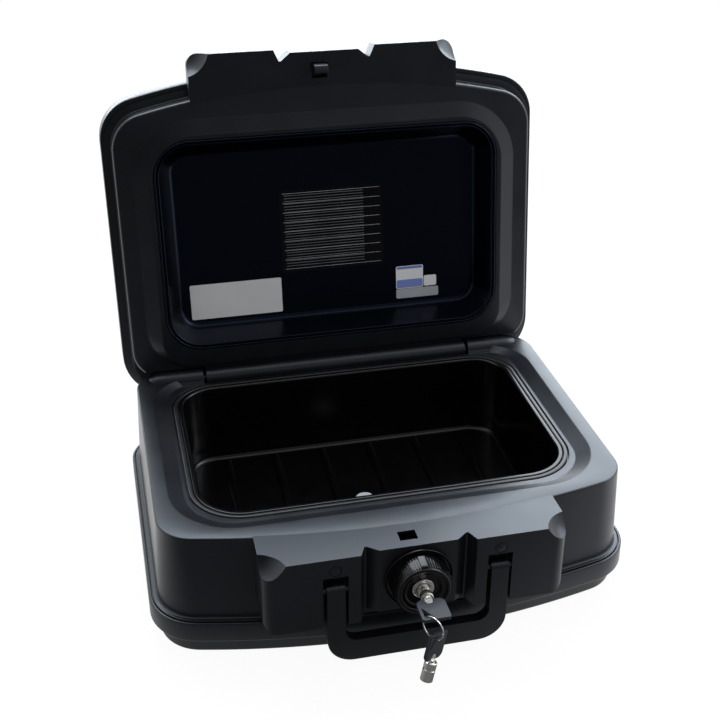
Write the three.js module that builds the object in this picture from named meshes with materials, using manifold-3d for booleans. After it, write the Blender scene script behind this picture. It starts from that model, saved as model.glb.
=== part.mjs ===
// A fire-resistant data safe: a small insulated chest with a hinged lid, a knob latch with a tubular
// lock in its middle, and a bail handle on the front.
// Millimetres, +Z up, +X right, +Y to the back. The origin is the middle of the base's underside.
// The lid is shown open on its stop, the key is in the lock, and a spare key hangs on its ring.
import * as THREE from 'three';
import { mergeVertices, toCreasedNormals } from 'three/addons/utils/BufferGeometryUtils.js';
import Module from 'manifold-3d';

const wasm = await Module();
wasm.setup();

// Body: the walls of base and lid share one outline, with a bowed front
const BODY_WIDTH = 388.5;
const BODY_DEPTH = 285;
const BOW_RADIUS = 735;
const FRONT_CORNER_RADIUS = 33;
const REAR_CORNER_RADIUS = 28;
const SHELL_WALL = 3;
const SEAT_GAP = 0.3;

// Base heights
const PARTING_Z = 112;
const LEDGE_Z = 36.5;
const BAND_HEIGHT = 19.5;
const BAND_OUTSET = 11;
const FOOT_INSET = 5;
const FOOT_RADIUS = 4;
const SEAM_OUTSET = 7.6;
const SEAM_WIDTH = 0.8;
const SEAM_STEP = 2.5;
const TRAY_FLOOR = 3;
const RIM_ROUND = 1.6;

// Recess in the base's rim, and the opening with its gasket channel
const RIM_LAND = 13.6;
const RECESS_FRONT_SETBACK = 26.1;
const RECESS_REAR_SETBACK = 17;
const RECESS_FRONT_RADIUS = 57;
const RECESS_REAR_RADIUS = 42;
const RECESS_DEPTH = 5.5;
const SLOPE_WIDTH = 12.2;
const REAR_SLOPE_WIDTH = 4.5;
const OPENING_SIDE_SETBACK = 37.45;
const OPENING_FRONT_SETBACK = 52.3;
const OPENING_REAR_SETBACK = 32.5;
const OPENING_FRONT_RADIUS = 38.5;
const OPENING_REAR_RADIUS = 31.5;
const LIP_WIDTH = 2.8;
const LIP_RISE = 0.5;
const GASKET_WIDTH = 4.8;
const CHANNEL_DEPTH = 3;
const FLANGE_THICKNESS = 3;

// Liner and insulation
const TUB_FLOOR_Z = 29;
const TUB_WALL = 2.5;
const TUB_DRAFT = 4;
const TUB_FILLET = 5;
const FLOOR_RIBS = 6;
const RIB_PITCH = 46.4;
const RIB_WIDTH = 4.5;
const RIB_RISE = 1.8;
const RIB_MARGIN = 16;
const FILL_PLUG_RADIUS = 8.5;
const FILL_PLUG_STEM = 5;
const FILL_PLUG_RISE = 2.6;
const FILL_DROP = 19;

// Hinge
const HINGE_SETBACK = 14;
const HINGE_DROP = 4.2;
const BARREL_RADIUS = 8;
const BARREL_SIDE_SETBACK = 65.75;
const HINGE_END_GAP = 2.5;
const FAIRING_RADIUS = 8.5;
const FAIRING_LENGTH = 52;
const FAIRING_NOSE = 14;
const HINGE_RUNNING_GAP = 0.4;
const HINGE_BED_DEPTH = 12.5;
const PIN_RADIUS = 2.5;
const PIN_LENGTH = 44;
const PIN_CLEARANCE = 0.3;
const OPEN_ANGLE = 98.3;

// Lid heights and the plug that enters the base's recess
const LID_GAP = 0.5;
const LID_WALL_HEIGHT = 37.5;
const LID_BAND_HEIGHT = 16.5;
const LID_BAND_OUTSET = 12.5;
const LID_BAND_CORNER = 36;
const CROWN_INSET = 8;
const CROWN_RISE = 10.5;
const CROWN_RADIUS = 9;
const CROWN_DOME_INSET = 46;
const CROWN_DOME_DROP = 1.6;
const LID_NOTCH_HEIGHT = 14;
const LID_REAR_SETBACK = 23.5;
const LID_REAR_LOW_RADIUS = 12;
const PLUG_SIDE_GAP = 1.9;
const PLUG_FRONT_GAP = 1;
const PLUG_DEPTH = 5;
const PLUG_SLOPE_WIDTH = 13;
const PLUG_REAR_SETBACK = 25;
const CAVITY_SIDE_SETBACK = 37.05;
const CAVITY_FRONT_SETBACK = 48;
const CAVITY_REAR_SETBACK = 46;
const CAVITY_RADIUS = 30;
const CAVITY_DEPTH = 26;
const CAVITY_DRAFT = 10.5;
const CAVITY_FILLET = 5;
const PAN_LIP = 3.2;
const PAN_LIP_RISE = 0.4;
const WEB_HEIGHT = 3.6;

// Latch housings on the front of base and lid
const HOUSING_WIDTH = 245;
const HOUSING_PROUD = 29;
const HOUSING_LIFT = 9.8;
const HOUSING_EDGE_RADIUS = 11;
const HOUSING_FOOT_RADIUS = 12;
const HOUSING_WALL = 2.5;
const PANEL_SETBACK = 3;
const PANEL_BOTTOM_STEP = 5.1;
const GROOVE_OUTER_X = 46;
const GROOVE_APEX_X = 41.5;
const GROOVE_APEX_WIDTH = 1.8;
const GROOVE_INNER_X = 31;
const GROOVE_DEPTH = 10;
const SCOOP_RADIUS = 26;
const SCOOP_OFFSET = 6;
const SCOOP_RISE = 5;
const LID_HOUSING_FACE = 28;
const LATCH_ROOM_WIDTH = 98;
const LATCH_ROOM_DEPTH = 13;
const KNOB_ROOM_WIDTH = 54;

// Lid hook and its slot
const SLOT_X = -5.5;
const SLOT_WIDTH = 14.2;
const SLOT_SETBACK = 11.2;
const SLOT_DEPTH = 11.1;
const HOOK_WIDTH = 12;
const HOOK_THICKNESS = 3;
const HOOK_FRONT_GAP = 2.3;
const HOOK_FOOT_DROP = 9.6;
const HOOK_FOOT_THICKNESS = 2.5;
const HOOK_FOOT_LENGTH = 7.5;
const HOOK_ROOT = 9;

// Knob, lock and latch cam on one axis
const KNOB_AXIS_DROP = 30.5;
const ESCUTCHEON_RADIUS = 27.5;
const ESCUTCHEON_THICKNESS = 5.5;
const KNOB_RADIUS = 23;
const KNOB_RIB_HEIGHT = 1.1;
const KNOB_RIBS = 44;
const KNOB_INDEX_RIBS = 5;
const KNOB_LENGTH = 13;
const KNOB_FACE_RADIUS = 20.6;
const KNOB_FACE_BEVEL = 3;
const KNOB_DISH_RADIUS = 17.5;
const KNOB_BOSS_RADIUS = 12;
const KNOB_DISH_DEPTH = 2.4;
const SPINDLE_RADIUS = 6;
const SPINDLE_BORE = 3.6;
const LOCK_HEAD_RADIUS = 8.9;
const LOCK_HEAD_THICKNESS = 1.8;
const LOCK_BODY_RADIUS = 7.6;
const KEYWAY_RADIUS = 5.4;
const LOCK_POST_RADIUS = 3.1;
const TAIL_RADIUS = 2.6;
const CAM_SETBACK = 17;
const CAM_THICKNESS = 2.5;
const CAM_HUB_RADIUS = 10;
const CAM_INNER_RADIUS = 22.2;
const CAM_OUTER_RADIUS = 25.2;
const CAM_FINGER_LEAD = 73;
const CAM_ARM_START = 102;
const CAM_ARM_END = 118;
const TAILPIECE_LENGTH = 13;
const TAILPIECE_WIDTH = 6;
const TAILPIECE_THICKNESS = 2;
const NUT_ACROSS_FLATS = 17;
const NUT_THICKNESS = 3.2;

// Keys and ring
const KEY_TUBE_RADIUS = 5;
const KEY_TUBE_BORE = 3.5;
const KEY_INSERTION = 9;
const KEY_TUBE_LENGTH = 14.5;
const KEY_TANG_WIDTH = 6;
const KEY_TANG_LENGTH = 8;
const KEY_TANG_IN_BOW = 4.5;
const BOW_WIDTH = 22.5;
const BOW_LENGTH = 22.5;
const BOW_THICKNESS = 3;
const BOW_CORNER = 2.5;
const BOW_SHOULDER = 5;
const BOW_SIDE_SHIFT = 0.75;
const BOW_HOLE_LEG = 11;
const BOW_HOLE_EDGE = 2.4;
const RING_RADIUS = 9.7;
const RING_WIRE = 0.65;
const RING_TURN = 56;
const RING_DROP = 7.1;
const RING_INSET = 8.1;
const RING_LEAD = 0.1;
const SPARE_TURN = 38;
const SPARE_TILT = 21;

// Bail handle
const HANDLE_ARM_X = 65.8;
const HANDLE_ARM_WIDTH = 14.4;
const HANDLE_THICKNESS = 9;
const HANDLE_PROUD = 2;
const HANDLE_BAR_HEIGHT = 20;
const HANDLE_LENGTH = 70;
const HANDLE_OUTER_RADIUS = 22;
const HANDLE_INNER_RADIUS = 10;
const HANDLE_PIVOT_DROP = 31;
const HANDLE_SLOT_WIDTH = 20;
const HANDLE_SLOT_DROP = 17.7;
const HANDLE_SLOT_BACK_GAP = 1;
const HANDLE_PIN_RADIUS = 2;
const HANDLE_PIN_CLEARANCE = 0.3;
const HANDLE_PIN_BITE = 3;
const CAP_RADIUS = 4.6;
const CAP_THICKNESS = 2;
const CAP_DROP = 11.6;
const SCREW_HEAD_RADIUS = 3.6;
const SCREW_HEAD_THICKNESS = 2.4;
const SCREW_SHANK_RADIUS = 1.9;
const SCREW_LENGTH = 20;

// Facets
const CORNER_STEPS = 6;
const BOW_STEPS = 8;
const ROUND_STEPS = 32;

// Derived places
const HALF_WIDTH = BODY_WIDTH / 2;
const BODY_FRONT = -BODY_DEPTH / 2;
const BODY_REAR = BODY_DEPTH / 2;
const BOW_CENTRE_Y = BODY_FRONT + BOW_RADIUS;
const HOUSING_FRONT = BODY_FRONT - HOUSING_PROUD;
const HOUSING_BOTTOM = LEDGE_Z + HOUSING_LIFT;
const SLOT_FRONT = HOUSING_FRONT + SLOT_SETBACK;
const SLOT_REAR = SLOT_FRONT + SLOT_DEPTH;
const CAM_Y = HOUSING_FRONT + CAM_SETBACK;
const OPENING_FRONT = BODY_FRONT + OPENING_FRONT_SETBACK;
const OPENING_REAR = BODY_REAR - OPENING_REAR_SETBACK;
const BASE_FILL_TOP = PARTING_Z - FILL_DROP;
const BARREL_LENGTH = BODY_WIDTH - 2 * BARREL_SIDE_SETBACK;
const HINGE_Y = BODY_REAR - HINGE_SETBACK;
const RECESS_Z = PARTING_Z - RECESS_DEPTH;
const CHANNEL_Z = RECESS_Z - CHANNEL_DEPTH;
const BAND_BOTTOM_Z = LEDGE_Z - BAND_HEIGHT;
const FOOT_OUTSET = BAND_OUTSET - FOOT_INSET;
const CHANNEL_INNER = LIP_WIDTH + SEAT_GAP;
const CHANNEL_OUTER = CHANNEL_INNER + GASKET_WIDTH + 2 * SEAT_GAP;
const HINGE_Z = PARTING_Z - HINGE_DROP;
const LID_Z = PARTING_Z + LID_GAP;
const LID_LEDGE_Z = LID_Z + LID_WALL_HEIGHT;
const LID_BAND_TOP = LID_LEDGE_Z + LID_BAND_HEIGHT;
const CROWN_OUTSET = LID_BAND_OUTSET - CROWN_INSET;
const LID_REAR_LOW = BODY_REAR - LID_REAR_SETBACK;
const CROWN_Z = LID_BAND_TOP + CROWN_RISE;
const PLUG_Z = LID_Z - PLUG_DEPTH - LID_GAP;
const CAVITY_Z = PLUG_Z + CAVITY_DEPTH;
const PANEL_FRONT = HOUSING_FRONT + PANEL_SETBACK;
const KNOB_Z = PARTING_Z - KNOB_AXIS_DROP;
const ESCUTCHEON_FRONT = PANEL_FRONT - SEAT_GAP - ESCUTCHEON_THICKNESS;
const KNOB_BACK = ESCUTCHEON_FRONT - SEAT_GAP;
const KNOB_FRONT = KNOB_BACK - KNOB_LENGTH;
const LOCK_FACE = KNOB_FRONT - LOCK_HEAD_THICKNESS + 1;
const HANDLE_FRONT = HOUSING_FRONT - HANDLE_PROUD;
const HANDLE_PIVOT_Y = HANDLE_FRONT + HANDLE_THICKNESS / 2;
const HANDLE_PIVOT_Z = PARTING_Z - HANDLE_PIVOT_DROP;
const HANDLE_BOTTOM_Z = HANDLE_PIVOT_Z - HANDLE_LENGTH;
const HANDLE_SLOT_TOP = PARTING_Z - HANDLE_SLOT_DROP;
const FAIRING_START = BARREL_LENGTH / 2 + HINGE_END_GAP;

const BODY = {
  halfWidth: HALF_WIDTH,
  front: BODY_FRONT,
  rear: BODY_REAR,
  frontRadius: FRONT_CORNER_RADIUS,
  rearRadius: REAR_CORNER_RADIUS,
  bowRadius: BOW_RADIUS,
};
const LID_LOW = { ...BODY, rear: LID_REAR_LOW, rearRadius: LID_REAR_LOW_RADIUS };
const LID_BAND = { ...BODY, frontRadius: LID_BAND_CORNER - LID_BAND_OUTSET };
const RECESS = {
  halfWidth: HALF_WIDTH - RIM_LAND,
  front: BODY_FRONT + RECESS_FRONT_SETBACK,
  rear: BODY_REAR - RECESS_REAR_SETBACK,
  frontRadius: RECESS_FRONT_RADIUS,
  rearRadius: RECESS_REAR_RADIUS,
};
const RECESS_FLOOR = {
  halfWidth: RECESS.halfWidth - SLOPE_WIDTH,
  front: RECESS.front + SLOPE_WIDTH,
  rear: RECESS.rear - REAR_SLOPE_WIDTH,
  frontRadius: RECESS_FRONT_RADIUS - SLOPE_WIDTH,
  rearRadius: RECESS_REAR_RADIUS - SLOPE_WIDTH,
};
const OPENING = {
  halfWidth: HALF_WIDTH - OPENING_SIDE_SETBACK,
  front: OPENING_FRONT,
  rear: OPENING_REAR,
  frontRadius: OPENING_FRONT_RADIUS,
  rearRadius: OPENING_REAR_RADIUS,
};
const PLUG = {
  halfWidth: RECESS.halfWidth - PLUG_SIDE_GAP,
  front: RECESS.front + PLUG_FRONT_GAP,
  rear: BODY_REAR - PLUG_REAR_SETBACK,
  frontRadius: RECESS_FRONT_RADIUS - PLUG_SIDE_GAP,
  rearRadius: RECESS_REAR_RADIUS - PLUG_SIDE_GAP,
};
const PLUG_FACE = {
  halfWidth: PLUG.halfWidth - PLUG_SLOPE_WIDTH,
  front: PLUG.front + PLUG_SLOPE_WIDTH,
  rear: PLUG.rear - PLUG_DEPTH / 2,
  frontRadius: PLUG.frontRadius - PLUG_SLOPE_WIDTH,
  rearRadius: PLUG.rearRadius - PLUG_SLOPE_WIDTH,
};
const CAVITY = {
  halfWidth: HALF_WIDTH - CAVITY_SIDE_SETBACK,
  front: BODY_FRONT + CAVITY_FRONT_SETBACK,
  rear: BODY_REAR - CAVITY_REAR_SETBACK,
  frontRadius: CAVITY_RADIUS,
  rearRadius: CAVITY_RADIUS,
};

// Points of an arc about (x, y), both ends included
function arcPoints(x, y, radius, fromDegrees, toDegrees, steps) {
  const points = [];
  for (let i = 0; i <= steps; i += 1) {
    const angle = THREE.MathUtils.degToRad(THREE.MathUtils.lerp(fromDegrees, toDegrees, i / steps));
    points.push([x + radius * Math.cos(angle), y + radius * Math.sin(angle)]);
  }
  return points;
}

// The outline moved outwards by offset, always with the same number of points, so that any two can be lofted
function outline(spec, offset = 0) {
  const half = spec.halfWidth + offset;
  const front = spec.front - offset;
  const rear = spec.rear + offset;
  const frontRadius = Math.max(spec.frontRadius + offset, 1);
  const rearRadius = Math.max(spec.rearRadius + offset, 1);
  const cornerX = half - frontRadius;
  let cornerY = front + frontRadius;
  let meet = 270;
  let nose = [];
  if (spec.bowRadius) {
    const bow = spec.bowRadius + offset;
    const centreY = front + bow;
    cornerY = centreY - Math.sqrt((bow - frontRadius) ** 2 - cornerX ** 2);
    meet = 180 + THREE.MathUtils.radToDeg(Math.atan2(centreY - cornerY, cornerX));
    nose = arcPoints(0, centreY, bow, meet, 540 - meet, BOW_STEPS).slice(1, -1);
  } else {
    for (let i = 1; i < BOW_STEPS; i += 1) {
      nose.push([THREE.MathUtils.lerp(-cornerX, cornerX, i / BOW_STEPS), front]);
    }
  }
  return [
    ...arcPoints(half - rearRadius, rear - rearRadius, rearRadius, 0, 90, CORNER_STEPS),
    ...arcPoints(rearRadius - half, rear - rearRadius, rearRadius, 90, 180, CORNER_STEPS),
    ...arcPoints(-cornerX, cornerY, frontRadius, 180, meet, CORNER_STEPS),
    ...nose,
    ...arcPoints(cornerX, cornerY, frontRadius, 540 - meet, 360, CORNER_STEPS),
  ];
}

// One level of a loft
function level(spec, offset, z) {
  return outline(spec, offset).map(([x, y]) => new THREE.Vector3(x, y, z));
}

// Levels that round an edge: the arc's centre is given as an offset and a height
function roundLevels(spec, offset, z, radius, fromDegrees, toDegrees, steps = 3) {
  return arcPoints(offset, z, radius, fromDegrees, toDegrees, steps).map(([o, h]) => level(spec, o, h));
}

function signedVolume(geometry) {
  const p = geometry.attributes.position;
  const index = geometry.index;
  const [a, b, c] = [new THREE.Vector3(), new THREE.Vector3(), new THREE.Vector3()];
  let volume = 0;
  for (let i = 0; i < index.count; i += 3) {
    a.fromBufferAttribute(p, index.getX(i));
    b.fromBufferAttribute(p, index.getX(i + 1));
    c.fromBufferAttribute(p, index.getX(i + 2));
    volume += a.dot(b.cross(c)) / 6;
  }
  return volume;
}

// Skin over a stack of levels: a ring when closed, otherwise a solid capped at its first and last level
function loft(levels, closed = false) {
  const count = levels[0].length;
  const positions = levels.flat().flatMap((p) => [p.x, p.y, p.z]);
  const index = [];
  const bands = closed ? levels.length : levels.length - 1;
  for (let i = 0; i < bands; i += 1) {
    const low = i * count;
    const high = ((i + 1) % levels.length) * count;
    for (let j = 0; j < count; j += 1) {
      const next = (j + 1) % count;
      index.push(low + j, low + next, high + next, low + j, high + next, high + j);
    }
  }
  if (!closed) {
    const flat = (points) => points.map((p) => new THREE.Vector2(p.x, p.y));
    const last = (levels.length - 1) * count;
    THREE.ShapeUtils.triangulateShape(flat(levels[0]), []).forEach(([a, b, c]) => index.push(c, b, a));
    THREE.ShapeUtils.triangulateShape(flat(levels.at(-1)), [])
      .forEach(([a, b, c]) => index.push(last + a, last + b, last + c));
  }
  const geometry = new THREE.BufferGeometry();
  geometry.setAttribute('position', new THREE.Float32BufferAttribute(positions, 3));
  geometry.setIndex(index);
  if (signedVolume(geometry) < 0) {
    const turned = [];
    for (let i = 0; i < index.length; i += 3) turned.push(index[i], index[i + 2], index[i + 1]);
    geometry.setIndex(turned);
  }
  return geometry;
}

// A closed mesh as a solid for joining and cutting
function solid(geometry) {
  const bare = geometry.clone();
  ['normal', 'uv'].forEach((name) => bare.deleteAttribute(name));
  const merged = mergeVertices(bare, 1e-4);
  return new wasm.Manifold(new wasm.Mesh({
    numProp: 3,
    vertProperties: new Float32Array(merged.attributes.position.array),
    triVerts: new Uint32Array(merged.index.array),
  }));
}

function toGeometry(body) {
  const mesh = body.getMesh();
  const geometry = new THREE.BufferGeometry();
  geometry.setAttribute('position', new THREE.BufferAttribute(mesh.vertProperties, 3));
  geometry.setIndex(new THREE.BufferAttribute(mesh.triVerts, 1));
  return geometry;
}

const AXES = {
  x: [[0, 1, 0], [0, 0, 1], [1, 0, 0]],
  y: [[1, 0, 0], [0, 0, 1], [0, -1, 0]],
  z: [[1, 0, 0], [0, 1, 0], [0, 0, 1]],
};

// A shape pushed along an axis: drawn in (y, z) for x, in (x, z) for y and in (x, y) for z
function prism(shape, axis, from, to, curveSegments = 8) {
  const geometry = new THREE.ExtrudeGeometry(shape, { depth: to - from, bevelEnabled: false, curveSegments });
  const basis = AXES[axis].map((v) => new THREE.Vector3(...v));
  geometry.applyMatrix4(new THREE.Matrix4().makeBasis(...basis));
  const start = axis === 'y' ? to : from;
  geometry.translate(axis === 'x' ? start : 0, axis === 'y' ? start : 0, axis === 'z' ? start : 0);
  return solid(geometry);
}

function block(x0, x1, y0, y1, z0, z1) {
  const geometry = new THREE.BoxGeometry(x1 - x0, y1 - y0, z1 - z0);
  geometry.translate((x0 + x1) / 2, (y0 + y1) / 2, (z0 + z1) / 2);
  return solid(geometry);
}

function circle(x, y, radius) {
  return new THREE.Shape().absarc(x, y, radius, 0, Math.PI * 2);
}

function disc(axis, u, v, radius, from, to, steps = ROUND_STEPS) {
  return prism(circle(u, v, radius), axis, from, to, steps / 2);
}

function tube(axis, u, v, radius, bore, from, to, steps = ROUND_STEPS) {
  const shape = circle(u, v, radius);
  shape.holes.push(circle(u, v, bore));
  return prism(shape, axis, from, to, steps / 2);
}

// A turned piece about a line along Y through (x, z). The profile is a list of [radius, y]
function turnedAlongY(profile, x, z, steps = ROUND_STEPS) {
  const geometry = new THREE.LatheGeometry(profile.map(([r, y]) => new THREE.Vector2(r, y)), steps);
  geometry.translate(x, 0, z);
  return outwardSolid(geometry);
}

function outwardSolid(geometry) {
  const bare = geometry.clone();
  ['normal', 'uv'].forEach((name) => bare.deleteAttribute(name));
  const merged = mergeVertices(bare, 1e-4);
  if (signedVolume(merged) < 0) {
    const index = Array.from(merged.index.array);
    for (let i = 0; i < index.length; i += 3) [index[i + 1], index[i + 2]] = [index[i + 2], index[i + 1]];
    merged.setIndex(index);
  }
  return solid(merged);
}

function union(first, ...others) {
  return others.reduce((sum, next) => sum.add(next), first);
}

function cut(first, ...tools) {
  return tools.reduce((rest, tool) => rest.subtract(tool), first);
}

function roundedRectangle(x0, x1, y0, y1, radii) {
  const [a, b, c, d] = radii;
  const shape = new THREE.Shape();
  shape.moveTo(x0 + a, y0);
  shape.lineTo(x1 - b, y0);
  if (b) shape.absarc(x1 - b, y0 + b, b, -Math.PI / 2, 0);
  shape.lineTo(x1, y1 - c);
  if (c) shape.absarc(x1 - c, y1 - c, c, 0, Math.PI / 2);
  shape.lineTo(x0 + d, y1);
  if (d) shape.absarc(x0 + d, y1 - d, d, Math.PI / 2, Math.PI);
  shape.lineTo(x0, y0 + a);
  if (a) shape.absarc(x0 + a, y0 + a, a, Math.PI, Math.PI * 1.5);
  return shape;
}

const PLASTIC = { color: 0x26272c, roughness: 0.42, metalness: 0 };
const LINER = { color: 0x0d0d10, roughness: 0.35, metalness: 0 };
const GLOSS = { color: 0x08080a, roughness: 0.16, metalness: 0 };
const RUBBER = { color: 0x2b2d31, roughness: 0.6, metalness: 0 };
const FILL = { color: 0xcfc9bd, roughness: 0.95, metalness: 0 };
const STEEL = { color: 0xb9bcc0, roughness: 0.35, metalness: 1 };
const CHROME = { color: 0xd8dadd, roughness: 0.12, metalness: 1 };
const BRASS = { color: 0xb08d4a, roughness: 0.3, metalness: 1 };
const KEY_GREY = { color: 0x3b3e45, roughness: 0.4, metalness: 0 };
const WHITE_PLASTIC = { color: 0xd9dbdc, roughness: 0.45, metalness: 0 };

function part(name, shape, finish) {
  const geometry = shape.isBufferGeometry ? shape : toGeometry(shape);
  const mesh = new THREE.Mesh(toCreasedNormals(geometry, Math.PI / 5), new THREE.MeshStandardMaterial(finish));
  mesh.name = name;
  return mesh;
}

// Lower moulding: the foot, the bumper band round it and the step that carries the upper shell
function baseTray() {
  const band = BAND_OUTSET;
  const inner = SEAM_OUTSET + SEAM_WIDTH;
  const stepZ = LEDGE_Z - SEAM_STEP - SEAT_GAP;
  return loft([
    ...roundLevels(BODY, FOOT_OUTSET - FOOT_RADIUS, FOOT_RADIUS, FOOT_RADIUS, -90, 0, 4),
    level(BODY, FOOT_OUTSET, BAND_BOTTOM_Z),
    ...roundLevels(BODY, band - 3, BAND_BOTTOM_Z + 3, 3, -90, 0),
    ...roundLevels(BODY, band - 1.2, LEDGE_Z - 1.7, 1.2, 0, 90, 2),
    level(BODY, inner, LEDGE_Z - 0.5),
    level(BODY, inner, stepZ),
    level(BODY, inner - SEAM_STEP, stepZ),
    level(BODY, inner - SEAM_STEP, BAND_BOTTOM_Z + SHELL_WALL),
    level(BODY, FOOT_OUTSET - SHELL_WALL, BAND_BOTTOM_Z),
    ...roundLevels(BODY, FOOT_OUTSET - FOOT_RADIUS, FOOT_RADIUS, FOOT_RADIUS - SHELL_WALL, 0, -90),
  ]);
}

// Upper moulding: wall, rim, sloped recess, ledge and gasket channel, with the bed of the hinge at the back
function baseShell() {
  const skin = loft([
    level(BODY, SEAM_OUTSET, LEDGE_Z - SEAM_STEP),
    level(BODY, SEAM_OUTSET, LEDGE_Z - 0.4),
    level(BODY, SEAM_OUTSET - 0.4, LEDGE_Z),
    ...roundLevels(BODY, 2, LEDGE_Z + 2, 2, 270, 180, 2),
    ...roundLevels(BODY, -RIM_ROUND, PARTING_Z - RIM_ROUND, RIM_ROUND, 0, 90, 2),
    level(RECESS, 0, PARTING_Z),
    level(RECESS_FLOOR, 0, RECESS_Z),
    level(OPENING, CHANNEL_OUTER, RECESS_Z),
    level(OPENING, CHANNEL_OUTER, CHANNEL_Z),
    level(OPENING, CHANNEL_INNER, CHANNEL_Z),
    level(OPENING, CHANNEL_INNER, CHANNEL_Z - FLANGE_THICKNESS),
    level(OPENING, CHANNEL_OUTER + SHELL_WALL, CHANNEL_Z - FLANGE_THICKNESS),
    level(RECESS_FLOOR, 1, RECESS_Z - SHELL_WALL),
    level(BODY, -SHELL_WALL - 4, PARTING_Z - SHELL_WALL),
    level(BODY, -SHELL_WALL, PARTING_Z - SHELL_WALL - 1),
    level(BODY, -SHELL_WALL, LEDGE_Z - SEAM_STEP),
  ], true);
  const reach = FAIRING_START + FAIRING_LENGTH;
  const bed = block(-FAIRING_START - PIN_LENGTH / 2, FAIRING_START + PIN_LENGTH / 2,
    OPENING_REAR + CHANNEL_OUTER, BODY_REAR - 1, HINGE_Z - HINGE_BED_DEPTH, RECESS_Z);
  const trough = union(
    disc('x', HINGE_Y, HINGE_Z, BARREL_RADIUS + HINGE_RUNNING_GAP, -FAIRING_START, FAIRING_START, 24),
    block(-FAIRING_START, FAIRING_START, HINGE_Y, BODY_REAR + 1,
      HINGE_Z - BARREL_RADIUS - HINGE_RUNNING_GAP, PARTING_Z + 1),
    block(-FAIRING_START, FAIRING_START, HINGE_Y - BARREL_RADIUS - HINGE_RUNNING_GAP, HINGE_Y + 1,
      HINGE_Z, PARTING_Z + 1),
  );
  const pinHole = disc('x', HINGE_Y, HINGE_Z, PIN_RADIUS + PIN_CLEARANCE,
    FAIRING_START - 1, FAIRING_START + PIN_LENGTH / 2, 16);
  const knuckles = [hingeFairing(), hingeFairing().mirror([1, 0, 0])];
  const joined = union(solid(skin), bed, ...knuckles);
  return cut(joined, trough, pinHole, pinHole.mirror([1, 0, 0]),
    block(-reach, reach, BODY_REAR, BODY_REAR + FAIRING_RADIUS, HINGE_Z - 20, PARTING_Z + FAIRING_RADIUS));
}

// The round-nosed cover of a hinge end, with a sloping skirt that dies into the recess
function hingeFairing() {
  const end = FAIRING_START + FAIRING_LENGTH;
  const profile = [[0, FAIRING_START], [FAIRING_RADIUS, FAIRING_START], [FAIRING_RADIUS, end - FAIRING_NOSE]];
  for (let i = 1; i < 5; i += 1) {
    const t = (i / 5) * (Math.PI / 2);
    profile.push([FAIRING_RADIUS * Math.cos(t) ** 0.7, end - FAIRING_NOSE * (1 - Math.sin(t))]);
  }
  profile.push([0, end]);
  const geometry = new THREE.LatheGeometry(profile.map(([r, x]) => new THREE.Vector2(r, x)), 24);
  geometry.rotateZ(-Math.PI / 2);
  geometry.translate(0, HINGE_Y, HINGE_Z);
  const skirt = new THREE.Shape();
  skirt.moveTo(HINGE_Y, RECESS_Z - 2);
  skirt.lineTo(HINGE_Y, HINGE_Z + FAIRING_RADIUS * 0.72);
  skirt.lineTo(HINGE_Y - FAIRING_RADIUS * 0.7, HINGE_Z + FAIRING_RADIUS * 0.7);
  skirt.lineTo(OPENING_REAR + CHANNEL_OUTER, RECESS_Z);
  skirt.lineTo(OPENING_REAR + CHANNEL_OUTER, RECESS_Z - 2);
  const wedge = prism(skirt, 'x', FAIRING_START, end - FAIRING_NOSE);
  const trim = new THREE.Shape();
  trim.moveTo(FAIRING_START - 1, HINGE_Y - 30);
  trim.lineTo(end + 1, HINGE_Y - 30);
  trim.lineTo(end + 1, HINGE_Y);
  trim.lineTo(end - FAIRING_NOSE, HINGE_Y - FAIRING_RADIUS * 0.7);
  trim.lineTo(FAIRING_START - 1, HINGE_Y - 30);
  return union(outwardSolid(geometry), wedge.subtract(prism(trim, 'z', RECESS_Z - 3, PARTING_Z + FAIRING_RADIUS)));
}

// Liner: a drafted tub with a rolled lip and ribs across its floor
function baseTub() {
  const lipTop = RECESS_Z + LIP_RISE;
  const floorOffset = -TUB_DRAFT - TUB_FILLET;
  const body = solid(loft([
    level(OPENING, floorOffset, TUB_FLOOR_Z - TUB_WALL),
    ...roundLevels(OPENING, floorOffset, TUB_FLOOR_Z + TUB_FILLET, TUB_FILLET + TUB_WALL, -60, 0, 2),
    level(OPENING, TUB_WALL, CHANNEL_Z - FLANGE_THICKNESS),
    level(OPENING, LIP_WIDTH, CHANNEL_Z),
    level(OPENING, LIP_WIDTH, lipTop - 0.6),
    level(OPENING, LIP_WIDTH - 0.6, lipTop),
    level(OPENING, 0.6, lipTop),
    level(OPENING, 0, lipTop - 0.6),
    ...roundLevels(OPENING, floorOffset, TUB_FLOOR_Z + TUB_FILLET, TUB_FILLET, 0, -90, 4),
  ]));
  const ribs = [];
  for (let i = 0; i < FLOOR_RIBS; i += 1) {
    const x = (i - (FLOOR_RIBS - 1) / 2) * RIB_PITCH;
    const rib = new THREE.Shape();
    rib.moveTo(x - RIB_WIDTH / 2, TUB_FLOOR_Z - 1);
    rib.lineTo(x + RIB_WIDTH / 2, TUB_FLOOR_Z - 1);
    for (let j = 1; j < 6; j += 1) {
      const angle = (j * Math.PI) / 6;
      rib.lineTo(x + (RIB_WIDTH / 2) * Math.cos(angle), TUB_FLOOR_Z + RIB_RISE * Math.sin(angle));
    }
    ribs.push(prism(rib, 'y', OPENING_FRONT + RIB_MARGIN, OPENING_REAR - RIB_MARGIN));
  }
  const fillHole = disc('z', 0, (OPENING_FRONT + OPENING_REAR) / 2, FILL_PLUG_STEM + SEAT_GAP,
    TUB_FLOOR_Z - TUB_WALL - 1, TUB_FLOOR_Z + 1, 24);
  return cut(union(body, ...ribs), fillHole);
}

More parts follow.
